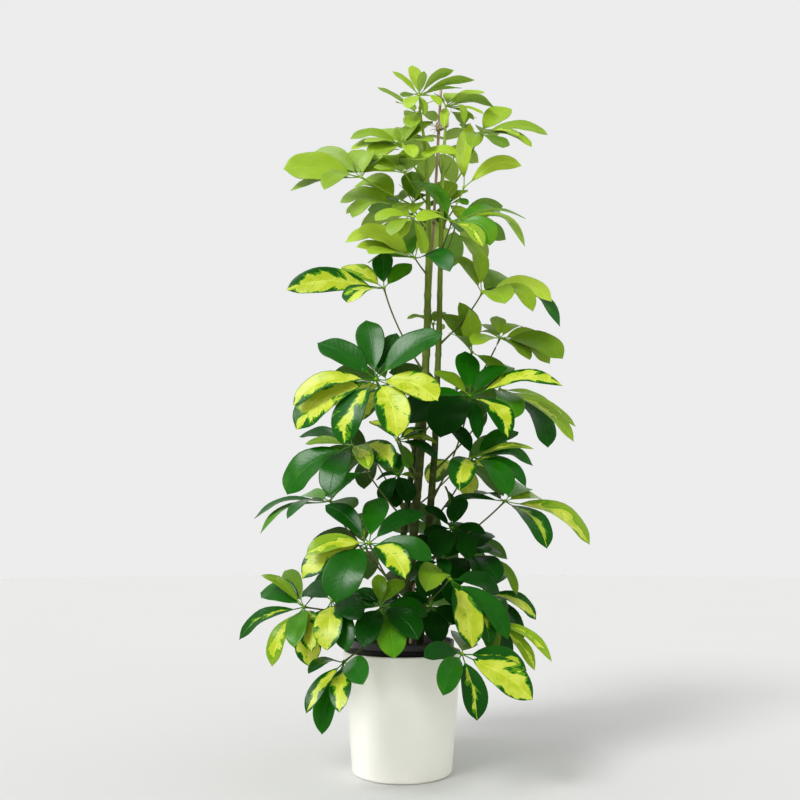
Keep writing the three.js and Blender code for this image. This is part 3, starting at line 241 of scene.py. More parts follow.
    Leaf("pot_right", "gold", "right", 634, (462, 654), -124, 92, (0.2, -0.75, 0.5), "DGVYHO",
         ((424, 658, -0.6, 10, 0, 0.9), (443, 696, -1, 10, 0, 0.8), (477, 721, -0.4, 10),
          (533, 700, -0.3, 6, 0, 1.1), (527, 671, 0.4, 10, 0, 0.8), (464, 636, 1, 4, 0, 1.1))),
    Leaf("right_low_gold", "gold", "right", 560, (505, 501), -12, 116, (0.25, -0.55, 0.8), "vhDMAD",
         ((590, 545, -0.6, 16, 0, 0.85), (547, 549, -0.9, 14, 0, 0.95), (443, 508, 0.3, 12, 0, 0.6),
          (526, 487, 1, 8, 0, 0.9), (542, 499, 1, 6, 0, 0.6), (476, 495, 1, 6, 0, 0.6))),
    Leaf("inner_dark", "green", "tall", 585, (452, 528), -20, 78, (0.1, -0.6, 0.8), "KKDKDKK",
         ((424, 508, 0.6, 8, 0, 1.2), (446, 486, 0.6, 6, 0, 1.1), (486, 534, 0.5, 10, 0, 1.2),
          (437, 558, -1, 12, 0, 1.2), (466, 498, 0.9, 8, 0, 1.2), (424, 536, -0.4, 8, 0, 1.1),
          (470, 560, -1, 10, 0, 1.1))),
    Leaf("inner_right", "green", "right", 612, (440, 562), -50, 76, (0.1, -0.65, 0.8), "KDGDKD",
         ((420, 534, 0.8, 6, 0, 1.1), (436, 528, 0.6, 6, 0, 1.1), (474, 540, 0.8, 8, 0, 1.1),
          (414, 570, -0.2, 10, 0, 1.1), (424, 598, -1, 10, 0, 1.1), (452, 606, -1, 12, 0, 1.1))),
    Leaf("inner_low", "green", "tall", 634, (430, 606), -56, 72, (0, -0.65, 0.8), "DKKDGD",
         ((403, 594, 0.4, 8, 0, 0.9), (404, 632, -0.8, 10, 0, 1.2), (438, 644, -1, 10, 0, 1.3),
          (462, 626, -0.5, 10, 0, 1.2), (452, 586, 1, 6, 0, 1.1), (414, 588, 0.8, 6, 0, 0.8))),
    Leaf("right_olive_low", "olive", "right", 592, (468, 555), 14, 88, (0.15, -0.5, 0.85), "ODDDDDD",
         ((517, 596, -0.5, 20, 0, 0.6), (488, 553, -1, 14, 0, 1.2), (498, 582, -1, 14, 0, 1.1),
          (450, 590, -1, 10, 0, 1.1), (500, 552, 0.8, 8, 0, 1.1)),
         (60, 100)),
    Leaf("right_low", "gold", "tall", 618, (450, 579), -88, 98, (0.1, -0.7, 0.7), "ODDGYDH",
         ((426, 592, -1, 20, 0, 0.95), (408, 578, 0.6, 8, 0, 1.1), (500, 594, 0.4, 12, 0, 1.1),
          (508, 640, -0.6, 12, 0, 0.75), (472, 648, -1, 12), (440, 558, 1, 4, 0, 1.1),
          (490, 648, -1, 12, 0, 0.7))),
    Leaf("right_yellow", "gold", "right", 620, (484, 592), 10, 84, (0.3, -0.5, 0.8), "YDHDGG",
         ((536, 620, -0.4, 14, 0, 1.1), (520, 645, -0.8, 16, 0, 0.8), (500, 618, -1, 12, 0, 1.1),
          (470, 622, -1, 10, 0, 1.1)),
         (60, 100)),
    Leaf("right_yellow_low", "gold", "right", 628, (488, 618), -30, 84, (0.3, -0.6, 0.7), "vvODD",
         ((535, 671, -0.8, 10, 0, 0.65), (552, 662, -0.2, 12, 0, 0.5), (492, 655, -1, 12, 0, 0.8),
          (508, 665, -1, 14, 0, 0.8)),
         (60,)),
    Leaf("back_crown", "lime", "right", 178, (437, 150), 62, 78, (0, 0.4, 0.9), "LLLLL",
         (),
         (20, 65, 110, 155, 205)),
    Leaf("back_neck", "mid", "tall", 246, (412, 214), 92, 92, (-0.2, 0.4, 0.9), "AMLAM",
         (),
         (50, 90, 130, 170, 215)),
    Leaf("back_neck_right", "mid", "right", 262, (455, 226), 84, 90, (0.2, 0.5, 0.85), "MAMLM",
         (),
         (10, 50, 90, 130, 330)),
    Leaf("back_hero", "gold", "low", 448, (388, 384), 96, 98, (-0.2, 0.5, 0.85), "YGVYGG",
         (),
         (40, 80, 120, 160, 200, 250)),
    Leaf("back_broad", "green", "low", 440, (448, 392), 108, 102, (0.2, 0.5, 0.85), "GDGGDG",
         (),
         (10, 50, 90, 130, 175, 320)),
    Leaf("back_waist_left", "green", "low", 506, (372, 452), 84, 96, (-0.3, 0.5, 0.8), "GDGGD",
         (),
         (60, 100, 140, 180, 225)),
    Leaf("back_waist_right", "gold", "low", 512, (462, 462), 96, 98, (0.3, 0.5, 0.8), "VGYVG",
         (),
         (0, 40, 80, 125, 320)),
    Leaf("back_low_left", "gold", "low", 588, (366, 548), 104, 100, (-0.25, 0.5, 0.8), "VGYGDV",
         (),
         (50, 90, 130, 170, 215, 260)),
    Leaf("back_low_right", "green", "right", 588, (448, 540), 108, 100, (0.25, 0.5, 0.8), "GGDGGD",
         (),
         (10, 50, 90, 130, 175, 215)),
    Leaf("back_low", "green", "low", 622, (410, 606), 124, 96, (0, 0.6, 0.75), "GDGGGD",
         (),
         (5, 50, 90, 130, 175, 250)),
)

# What each letter of a leaf's looks means: the place on the scale of greens from deepest (0) to palest lime
# (1), the share of the blade that is golden, and the brightness. A low brightness, as on K and O, is painted
# shade on leaflets that hang in the others' shade.
LOOKS = {
    "P": (0.98, 0.0, 1.05),
    "L": (0.86, 0.0, 1.05),
    "A": (0.74, 0.0, 1.0),
    "O": (0.62, 0.0, 0.8),
    "M": (0.5, 0.0, 1.0),
    "G": (0.34, 0.0, 1.0),
    # D and K are painted shade on leaflets that hang in the others' shade: K the darkest green, dimmed, and D
    # the deep green that old leaves also have.
    "D": (0.16, 0.0, 0.9),
    "K": (0.02, 0.0, 0.8),
    "v": (0.72, 0.35, 1.0),
    "H": (0.3, 0.2, 1.0),
    "h": (0.26, 0.12, 1.0),
    "V": (0.26, 0.5, 1.0),
    "Y": (0.3, 0.8, 1.0),
}
# Each tone's petioles on the scale of greens.
PETIOLE_HUES = {"lime": 0.72, "mid": 0.5, "olive": 0.42, "gold": 0.4, "green": 0.3}
# Roughness and specular level of each tone's blades, and of the leaves that hang in the others' shade.
LEAF_GLOSS = {"lime": (0.42, 0.1), "mid": (0.4, 0.1), "olive": (0.4, 0.1), "gold": (0.28, 0.11),
              "green": (0.25, 0.1), "shaded": (0.4, 0.02)}


# -------------------------------------------------------------------------------- places and curves
def unit(vectors):
    """Each vector divided by its length."""
    return vectors / np.linalg.norm(vectors, axis=-1, keepdims=True)


def full_turn(count):
    """Angles that divide a full turn evenly."""
    return 2 * np.pi * np.arange(count) / count


def across_from(vectors, axes):
    """Each vector less its part along its axis, made one long."""
    return unit(vectors - axes * np.sum(vectors * axes, axis=-1, keepdims=True))


def sight_line(place):
    """The way the eye looks at a place: ahead by one, tilted up, plus the offsets over the focal length."""
    right = (place[0] - VIEW_MIDDLE) / VIEW_FOCAL
    up = (VIEW_MIDDLE - place[1]) / VIEW_FOCAL
    level, steep = np.cos(EYE_TILT), np.sin(EYE_TILT)
    return np.array((right, level - up * steep, steep + up * level))


def seen(place, depth):
    """The point on a place's sight line whose y is the depth."""
    line = sight_line(place)
    return EYE + line * ((depth * MM - EYE[1]) / line[1])


def tip_points(hub, reach, tip):
    """For every bend, the point on the tip's sight line one reach from the hub, moved on by the bend."""
    line = sight_line(tip)
    length = np.linalg.norm(line)
    line = line / length
    from_hub = EYE - hub
    along = -line @ from_hub
    spare = reach ** 2 - (from_hub @ from_hub - along ** 2)
    offset = along + tip[2] * np.sqrt(max(spare, 0.0))
    return EYE + line * (offset + steps(BEND_STEPS)[:, None] * BEND_STEP * MM * length)


def hidden_tips(hub, reach, face, angle):
    """For every bend, the point at an angle in the whorl's plane, one reach out, raised by the bend."""
    right = across_from(EAST, face)
    back = np.cross(face, right)
    turn = np.radians(angle)
    tip = hub + reach * (right * np.cos(turn) + back * np.sin(turn))
    return tip + UP * (steps(BEND_STEPS)[:, None] * BEND_STEP * MM)


def steps(count):
    """The whole numbers 0, 1, -1, 2, -2 and so on up to a count."""
    order = np.arange(2 * count + 1)
    return np.where(order % 2, 1, -1) * ((order + 1) // 2)


def curve(points, shares):
    """A smooth line through points at shares of its length in steps: each stretch is a cubic whose end
    slopes are weighted by the square roots of the distances, with a mirrored point before the first and
    after the last."""
    points = np.asarray(points, float)
    ghost = np.vstack((2 * points[0] - points[1], points, 2 * points[-1] - points[-2]))
    place = np.asarray(shares) * (len(points) - 1)
    step = np.minimum(place.astype(int), len(points) - 2)
    t = (place - step)[:, None]
    a, b, c, d = (ghost[step + k] for k in range(4))
    ab, bc, cd = (np.sqrt(np.linalg.norm(q - p, axis=1, keepdims=True)) for p, q in ((a, b), (b, c), (c, d)))
    leave = ((b - a) / ab - (c - a) / (ab + bc) + (c - b) / bc) * bc
    arrive = ((c - b) / bc - (d - b) / (bc + cd) + (d - c) / cd) * bc
    bend = 3 * (c - b) - 2 * leave - arrive
    return b + leave * t + bend * t ** 2 + (2 * (b - c) + leave + arrive) * t ** 3


def bow(start, control, end, shares):
    """A parabola from start to end that heads for the control point, with its slopes."""
    t = np.asarray(shares, float)[:, None]
    place = start * (1 - t) ** 2 + 2 * control * t * (1 - t) + end * t ** 2
    return place, unit(2 * (control - start) * (1 - t) + 2 * (end - control) * t)


def slopes(line):
    """The direction of a line of points at each of them."""
    return unit(np.gradient(line, axis=0))


def stem_line(name, shares):
    """A stem's middle and radius at shares of its way from the foot in the soil to the tip."""
    rows = STEMS[name]
    points = [seen(row, row[2]) for row in rows]
    points.insert(0, np.array((points[0][0], points[0][1], STEM_FOOT)))
    radii = np.array([rows[0][3]] + [row[3] for row in rows]) * MM
    return curve(points, shares), np.interp(np.asarray(shares) * len(rows), np.arange(len(radii)), radii)


def stem_at(name, row):
    """A stem's middle and radius at the height that shows at a row, on the frame's straight stretches."""
    middles, radii = stem_line(name, np.arange(STEM_STEPS + 1) / STEM_STEPS)
    height = seen((STEMS[name][0][0], row), 0)[2]
    middle = np.array([np.interp(height, middles[:, 2], middles[:, axis]) for axis in range(3)])
    return middle, np.interp(height, middles[:, 2], radii)


# -------------------------------------------------------------------------------- skins
class Shape:
    """Closed skins gathered into one mesh, with named vectors on their points."""

    def __init__(self, *names):
        self.points, self.quads, self.fans = [], [], []
        self.values = {name: [] for name in names}
        self.count = 0

    def add(self, rings, poles=None, **values):
        """Joins each ring of points to the next by quads and closes both ends with fans to their poles,
        which are the end rings' middles unless given. A skin whose volume is negative is turned round."""
        stations, around = rings.shape[:2]
        if poles is None:
            poles = rings[[0, -1]].mean(axis=1)
        index = np.arange(stations * around).reshape(stations, around)
        after = np.roll(index, -1, axis=1)
        first, last = stations * around, stations * around + 1
        quads = np.stack((index[:-1], after[:-1], after[1:], index[1:]), axis=-1).reshape(-1, 4)
        fans = np.concatenate((
            np.stack((np.full(around, first), after[0], index[0]), axis=-1),
            np.stack((np.full(around, last), index[-1], after[-1]), axis=-1),
        ))
        points = np.concatenate((rings.reshape(-1, 3), poles))
        triangles = np.concatenate((quads[:, :3], quads[:, [0, 2, 3]], fans))
        a, b, c = (points[triangles[:, k]] - poles[0] for k in range(3))
        if np.sum(a * np.cross(b, c)) < 0:
            quads, fans = quads[:, ::-1], fans[:, ::-1]
        self.quads.append(quads + self.count)
        self.fans.append(fans + self.count)
        self.points.append(points)
        self.count += len(points)
        for name, parts in self.values.items():
            full = np.broadcast_to(values[name], (stations, around, 3))
            parts.append(np.concatenate((full.reshape(-1, 3), full[[0, -1]].mean(axis=1))))

    def add_loop(self, rings):
        """Joins each ring to the next and the last to the first. These skins carry no values."""
        stations, around = rings.shape[:2]
        index = np.arange(stations * around).reshape(stations, around) + self.count
        after, ahead = np.roll(index, -1, axis=1), np.roll(index, -1, axis=0)
        quads = np.stack((index, after, np.roll(after, -1, axis=0), ahead), axis=-1).reshape(-1, 4)
        points = rings.reshape(-1, 3)
        a, b, c, d = (points[quads[:, k] - self.count] - points.mean(axis=0) for k in range(4))
        if np.sum(a * np.cross(b, c)) + np.sum(a * np.cross(c, d)) < 0:
            quads = quads[:, ::-1]
        self.quads.append(quads)
        self.points.append(points)
        self.count += len(points)

    def build(self, name, finish, slot, *nodes):
        """Makes the mesh and its object, which rides on the frame in place of the nodes."""
        mesh = bpy.data.meshes.new(name)
        faces = [face for part in self.quads + self.fans for face in part.tolist()]
        mesh.from_pydata(np.concatenate(self.points).tolist(), [], faces)
        for value, parts in self.values.items():
            attribute = mesh.attributes.new(value, "FLOAT_VECTOR", "POINT")
            attribute.data.foreach_set("vector", np.concatenate(parts).astype(np.float32).ravel())
        mesh.polygons.foreach_set("use_smooth", np.ones(len(mesh.polygons), bool))
        mesh.materials.append(finish)
        mesh.update()
        piece = bpy.data.objects.new(name, mesh)
        bpy.context.scene.collection.objects.link(piece)
        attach(piece, BODY)
        if nodes:
            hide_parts(*nodes)


def rings_on(line, radii, around, sideways=None):
    """Round rings on a line of points: each is its middle plus the radius times the cosine sideways and the
    sine across, both square to the line. The radii are one for each ring or one for each of its points."""
    tangent = slopes(line)
    if sideways is None:
        sideways = np.where(np.abs(tangent[:, 2:]) > 0.9, EAST, UP)
    side = across_from(np.broadcast_to(sideways, line.shape), tangent)
    over = np.cross(tangent, side)
    angle = full_turn(around)
    spread = side[:, None] * np.cos(angle)[None, :, None] + over[:, None] * np.sin(angle)[None, :, None]
    return line[:, None] + spread * np.reshape(radii, (len(line), -1, 1))


def lathe(profile, around):
    """A profile of radius and height turned about the upright axis."""
    radius, height = np.asarray(profile, float).T
    angle = full_turn(around)
    return np.stack((radius[:, None] * np.cos(angle), radius[:, None] * np.sin(angle),
                     np.broadcast_to(height[:, None], (len(radius), around))), axis=-1)


def rounded(corners, fillet, bends):
    """A profile whose inner corners are turned into arcs: each is a parabola that starts and ends one
    fillet, or half the shorter side, away from the corner."""
    corners = np.asarray(corners, float)
    parts = [corners[:1]]
    for before, corner, after in zip(corners, corners[1:], corners[2:]):
        reach = min(fillet, 0.5 * np.linalg.norm(corner - before), 0.5 * np.linalg.norm(after - corner))
        start, end = corner + unit(before - corner) * reach, corner + unit(after - corner) * reach
        parts.append(bow(start, corner, end, np.linspace(0, 1, bends))[0])
    return np.vstack((*parts, corners[-1:]))


# -------------------------------------------------------------------------------- shader nodes
class Link:
    """A socket's value. Operators on it add Math nodes."""

    def __init__(self, finish, socket):
        self.finish, self.socket = finish, socket

    def math(self, operation, *others):
        """A Math node on this value and the others."""
        values = dict(enumerate((self, *others)))
        return self.finish.node("ShaderNodeMath", {"operation": operation}, values)

    def __add__(self, other):
        return self.math("ADD", other)

    def __radd__(self, other):
        return self.math("ADD", other)

    def __sub__(self, other):
        return self.math("SUBTRACT", other)

    def __rsub__(self, other):
        return (self * -1).math("ADD", other)

    def __mul__(self, other):
        return self.math("MULTIPLY", other)

    def __rmul__(self, other):
        return self.math("MULTIPLY", other)

    def __abs__(self):
        return self.math("ABSOLUTE")

    def least(self, other):
        return self.math("MINIMUM", other)

    def part(self):
        """What is left over whole numbers."""
        return self.math("FRACT")

    def rise(self, low, high):
        """0 below low, 1 above high and a smooth step between."""
        return self.finish.node("ShaderNodeMapRange", {"interpolation_type": "SMOOTHSTEP"},
                                {0: self, 1: low, 2: high, 3: 0.0, 4: 1.0})


class Finish:
    """A material made of nodes round one Principled BSDF."""

    def __init__(self, name, **constants):
        self.material = bpy.data.materials.new(name)
        self.material.use_nodes = True
        self.tree = self.material.node_tree
        self.surface = self.tree.nodes["Principled BSDF"]
        for socket, value in constants.items():
            self.surface.inputs[socket.replace("_", " ")].default_value = value

    def node(self, kind, settings=None, inputs=None, output=0):
        """Adds a node of a type with its settings, then its sockets' values or links. Gives an output."""
        made = self.tree.nodes.new(kind)
        for setting, value in (settings or {}).items():
            if setting == "stops":
                ramp = made.color_ramp.elements
                while len(ramp) < len(value):
                    ramp.new(1.0)
                for stop, (place, colour) in zip(ramp, value):
                    stop.position, stop.color = place, (*colour, 1.0)
            else:
                setattr(made, setting, value)
        for socket, value in (inputs or {}).items():
            if isinstance(value, Link):
                self.tree.links.new(value.socket, made.inputs[socket])
            else:
                made.inputs[socket].default_value = value
        return Link(self, made.outputs[output])

    def feed(self, **links):
        """Links values to the surface's own sockets."""
        for socket, link in links.items():
            self.tree.links.new(link.socket, self.surface.inputs[socket.replace("_", " ")])

    def place(self):
        """Where a point is on its piece, in metres."""
        return self.node("ShaderNodeTexCoord", output="Object")

    def carried(self, name):
        """The vector that a mesh's points carry under a name."""
        return self.node("ShaderNodeAttribute", {"attribute_name": name}, output="Vector")

    def split(self, vector):
        """The three parts of a vector."""
        made = self.node("ShaderNodeSeparateXYZ", inputs={0: vector})
        return [Link(self, output) for output in made.socket.node.outputs]

    def join(self, x, y, z):
        return self.node("ShaderNodeCombineXYZ", inputs={0: x, 1: y, 2: z})

    def stretch(self, vector, scale):
        """A vector with each part scaled by its own factor."""
        return self.node("ShaderNodeVectorMath", {"operation": "MULTIPLY"}, {0: vector, 1: scale})

    def noise(self, vector, scale, detail=2.0, roughness=0.5):
        sockets = {"Vector": vector, "Scale": scale, "Detail": detail, "Roughness": roughness}
        return self.node("ShaderNodeTexNoise", inputs=sockets)

    def mix(self, factor, first, second, blend="MIX"):
        """Blends two colours, each a link or a colour."""
        first, second = (c if isinstance(c, Link) else (*c, 1.0) for c in (first, second))
        return self.node("ShaderNodeMix", {"data_type": "RGBA", "blend_type": blend},
                         {0: factor, 6: first, 7: second}, output=2)

    def ramp(self, factor, stops):
        return self.node("ShaderNodeValToRGB", {"stops": stops}, {0: factor})

    def bump(self, height, strength, distance):
        sockets = {"Strength": strength, "Distance": distance, "Height": height}
        return self.node("ShaderNodeBump", inputs=sockets)


def white_finish(colour, roughness):
    """Satin white: almost even, with a faint cloudiness in its shine and a fine moulded skin."""
    finish = Finish("cover_pot_white", IOR=1.47)
    place = finish.place()
    cloud = finish.noise(place, 14.0, 3.0)
    grain = finish.noise(place, 900.0, 1.0)
    finish.feed(Base_Color=finish.mix(cloud.rise(0.3, 0.75), [c * 0.965 for c in colour], colour),
                Roughness=roughness - 0.06 + 0.12 * cloud,
                Normal=finish.bump(0.7 * cloud + 0.1 * grain, 0.12, 0.0004))
    return finish.material


def black_finish(colour):
    """Thin black plastic: a little dust and fine scuffs that lighten it."""
    finish = Finish("grower_pot_black")
    place = finish.place()
    dust = finish.noise(place, 45.0, 4.0).rise(0.45, 0.75)
    scuff = finish.noise(finish.stretch(place, (60.0, 60.0, 700.0)), 1.0, 2.0).rise(0.55, 0.8)
    finish.feed(Base_Color=finish.mix(dust * 0.5, colour, (0.05, 0.042, 0.034)),
                Roughness=0.45 + 0.25 * dust + 0.1 * scuff,
                Normal=finish.bump(scuff, 0.25, 0.0003))
    return finish.material


def soil_finish(dark, light):
    """Potting mix: dark crumbs with brown flecks and fibres."""
    finish = Finish("soil_mix")
    place = finish.place()
    crumb = finish.noise(place, 160.0, 4.0, 0.7)
    fleck = finish.noise(place, 420.0, 2.0).rise(0.6, 0.72)
    clump = finish.noise(place, 38.0, 3.0)
    body = finish.mix(clump.rise(0.35, 0.7), dark, [0.5 * (a + b) for a, b in zip(dark, light)])
    finish.feed(Base_Color=finish.mix(fleck * 0.8, body, light), Roughness=0.85 + 0.15 * crumb,
                Normal=finish.bump(crumb + 0.5 * clump, 0.9, 0.0025))
    return finish.material


def bark_finish(old, young):
    """Woody and dark below, darker still where painted shade falls from the leaves over it, and green above:
    upright streaks, pale ring scars and a few lenticels.
    """
    finish = Finish("stem_bark", Specular_IOR_Level=0.2)
    place = finish.place()
    _, _, height = finish.split(place)
    streak = finish.noise(finish.stretch(place, (500.0, 500.0, 22.0)), 1.0, 3.0)
    patch = finish.noise(place, 55.0, 3.0)
    ring = finish.split(finish.carried("mark"))[0]
    # Low down among the leaves the old bark is darkened further: painted shade from the foliage over the
    # stems.
    woody = finish.mix((height + 0.1 * patch).rise(0.44, 0.66), [0.3 * c for c in old], old)
    base = finish.mix((height + 0.12 * patch).rise(0.72, 0.88), woody, young)
    base = finish.mix(streak.rise(0.4, 0.65) * 0.5, base, finish.mix(0.6, base, (0.022, 0.032, 0.007)))
    base = finish.mix(patch.rise(0.55, 0.75) * 0.25, base, (0.15, 0.19, 0.03))
    finish.feed(Base_Color=finish.mix(ring * 0.2, base, (0.24, 0.26, 0.1)), Roughness=0.55 + 0.25 * patch,
                Normal=finish.bump(streak + 0.8 * ring, 0.4, 0.0008))
    return finish.material


def cane_finish(colour):
    """Bamboo: pinkish tan with upright fibres and dark knots."""
    finish = Finish("stake_bamboo")
    place = finish.place()
    fibre = finish.noise(finish.stretch(place, (1100.0, 1100.0, 14.0)), 1.0, 3.0)
    stain = finish.noise(place, 30.0, 2.0)
    knot = finish.split(finish.carried("mark"))[0]
    base = finish.mix(fibre.rise(0.35, 0.7) * 0.6, colour, [0.55 * c for c in colour])
    base = finish.mix(stain.rise(0.5, 0.75) * 0.4, base, (0.36, 0.17, 0.12))
    finish.feed(Base_Color=finish.mix(knot, base, (0.05, 0.028, 0.02)), Roughness=0.5 + 0.25 * fibre,
                Normal=finish.bump(fibre, 0.3, 0.0004))
    return finish.material


def raffia_finish(colour):
    """Dry palm fibre: pale, with fine lengthwise threads."""
    finish = Finish("raffia_fibre")
    place = finish.place()
    thread = finish.noise(finish.stretch(place, (700.0, 700.0, 2400.0)), 1.0, 2.0)
    finish.feed(Base_Color=finish.mix(thread.rise(0.3, 0.7), [0.6 * c for c in colour], colour),
                Roughness=0.6 + 0.3 * thread, Normal=finish.bump(thread, 0.5, 0.0004))
    return finish.material


def leaf_finish(name, gloss, foliage):
    """A leathery blade. Its green comes from a scale between deepest and palest, and its own tone scales it;
    the scale's dark end and a dimmed tone paint shade on leaflets that hang in the others' shade. Its golden
    heart has an edge that noise breaks into patches and draws out along the side veins. Each half of a blade
    has its own share of it, and even there a blade keeps a thin green rim. The midrib and veins are lighter
    and lie a little lower. The lower face takes a paler green, which lime leaves take more of as painted
    light shining through the blade. Where the third part of the blade vector passes one, the petiole's brown
    shows."""
    roughness, shine = gloss
    finish = Finish(name, IOR=1.45, Specular_IOR_Level=shine)
    across, along, upper = finish.split(finish.carried("blade"))
    hue, gold, shade = finish.split(finish.carried("look"))
    aside, onward, seed = finish.split(finish.carried("spot"))
    aside = abs(aside)
    vein_way = onward - 0.9 * aside
    half_seed = seed + 3.7 * across.rise(-0.01, 0.01)
    feather = finish.noise(finish.join(vein_way * 0.9, aside * 0.4, half_seed), 1.0, 2.0, 0.6)
    patch = finish.noise(finish.join(vein_way * 0.45, aside * 0.6, half_seed + 33.0), 1.0, 0.0)
    lean = finish.noise(finish.join(half_seed, 5.0, 2.0), 1.7, 0.0)
    fleck = finish.noise(finish.join(vein_way * 2.4, aside * 1.1, half_seed + 9.0), 1.0, 2.0, 0.6)
    cloud = finish.noise(finish.join(onward, aside, half_seed + 21.0), 0.45, 2.0)
    # The scale's two lowest stops are painted shade on leaflets that hang in the others' shade; the second is
    # also old leaves' own green.
    scale = [(place, tuple(colour)) for place, colour in (
        (0.0, foliage.painted_shade_green), (0.2, foliage.old_and_painted_shade_green), (0.38, foliage.plain), (0.52, foliage.middle),
        (0.66, foliage.olive), (0.85, foliage.lime), (1.0, foliage.pale))]
    green = finish.ramp(hue + (cloud - 0.5) * 0.16, scale)
    some = (gold * 5.0).least(1.0)
    edge = gold * 1.35 - 0.15 + ((feather - 0.5) * 1.0 + (patch - 0.5) * 1.6 + (lean - 0.5) * 1.6) * some
    distance = abs(across) + 0.35 * along.rise(0.72, 1.02)
    halo = (edge + 0.14 + (fleck - 0.5) * 1.0 - distance).rise(-0.03, 0.03) * some
    rim = abs(across).rise(0.9, 0.97)
    heart = (edge - distance).rise(-0.025, 0.025) * some * (1.0 - rim * 0.85)
    spill = fleck.rise(0.64, 0.68) * heart
    blade = finish.mix(halo * 0.85, green, tuple(foliage.halo))
    golden = finish.mix(cloud.rise(0.35, 0.65), tuple(foliage.gold), tuple(foliage.gold_light))
    blade = finish.mix(heart, blade, golden)
    blade = finish.mix(spill * 0.8, blade, tuple(foliage.halo))
    midrib = 1.0 - aside.rise(0.03, 0.085)
    comb = abs((vein_way * 1.1 + 0.07 * seed).part() - 0.5) * 2.0
    veins = comb.rise(0.75, 1.0) * aside.rise(0.05, 0.2)
    lighter = finish.mix(1.0, blade, (1.45, 1.4, 1.5), "MULTIPLY")
    blade = finish.mix((midrib * 0.6 + veins * 0.1).least(1.0), blade, lighter)
    # Lower faces take a paler green, partly their own and, on lime leaves, more of it as painted light
    # shining through the blade.
    under = finish.mix(hue.rise(0.2, 0.9) * 0.5 + 0.1, blade, tuple(foliage.underside))
    blade = finish.mix(upper.least(1.0), under, blade)
    blade = finish.mix((upper - 1.0).rise(0.0, 1.0) * 0.7, blade, tuple(foliage.petiole))
    # The look's third part dims the leaflets that hang in shade: painted shade, with a small tone of each
    # leaflet's own.
    tone_and_painted_shade = finish.join(shade, shade, shade)
    finish.feed(Base_Color=finish.mix(1.0, blade, tone_and_painted_shade, "MULTIPLY"),
                Roughness=roughness + 0.16 * (1.0 - upper.least(1.0)) + 0.12 * cloud - 0.06,
                Normal=finish.bump(cloud * 0.8 - midrib * 0.5 - veins * 0.1, 0.45, 0.0012))
    return finish.material


def floor_finish(colour):
    """A pale matt floor with a faint unevenness."""
    finish = Finish("floor_pale", Specular_IOR_Level=0.0)
    cloud = finish.noise(finish.place(), 1.6, 3.0)
    finish.feed(Base_Color=finish.mix(cloud, [0.97 * c for c in colour], colour), Roughness=0.7 + 0.1 * cloud)
    return finish.material


# -------------------------------------------------------------------------------- settings
def colour(name, description, default):
    """A colour setting, as light from 0 to 1 in each channel."""
    return FloatVectorProperty(name=name, description=description, default=default, subtype="COLOR",
                               min=0, max=1)


def length(name, description, default):
    """A length setting in metres."""
    return FloatProperty(name=name, description=description, default=default, unit="LENGTH",
                         min=0, precision=5)


def share(name, description, default):
    """A share or strength setting without a unit."""
    return FloatProperty(name=name, description=description, default=default, min=0)


def angle(name, description, default):
    """An angle setting, given here in degrees."""
    return FloatProperty(name=name, description=description, default=np.radians(default), subtype="ANGLE")


_, pot_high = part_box("cover_pot")


class PotSettings(bpy.types.PropertyGroup):
    """The two pots and the soil."""
    rim_radius: length("Rim radius", "Outside radius of the cover pot at its rim", pot_high[0])
    base_radius: length("Base radius", "Outside radius of the cover pot at its foot", 0.07)
    height: length("Height", "Height of the cover pot", pot_high[2])
    wall: length("Wall", "Thickness of the cover pot's wall", 0.0032)
    white: colour("White", "Colour of the cover pot", (0.965, 0.955, 0.88))
    roughness: share("Roughness", "Roughness of the cover pot, from 0 to 1", 0.36)
    black: colour("Black", "Colour of the grower's pot", (0.012, 0.012, 0.012))
    soil_dark: colour("Soil", "Colour of the damp soil", (0.016, 0.01, 0.006))
    soil_light: colour("Flecks", "Colour of the bark flecks in the soil", (0.12, 0.065, 0.032))
    crumbs: IntProperty(name="Crumbs", description="Loose crumbs on the soil", default=260, min=0, max=1000)


class StemSettings(bpy.types.PropertyGroup):
    """The stems, the stake and its tie."""
    old_bark: colour("Old bark", "Colour of the stems near the soil", (0.11, 0.17, 0.014))
    young_bark: colour("Young bark", "Colour of the stems near their tips", (0.33, 0.46, 0.06))
    cane: colour("Cane", "Colour of the bamboo stake", (0.58, 0.38, 0.25))
    raffia: colour("Raffia", "Colour of the raffia tie", (0.78, 0.66, 0.45))
    ring_spacing: length("Ring spacing", "Distance between leaf scars on a stem", 0.027)


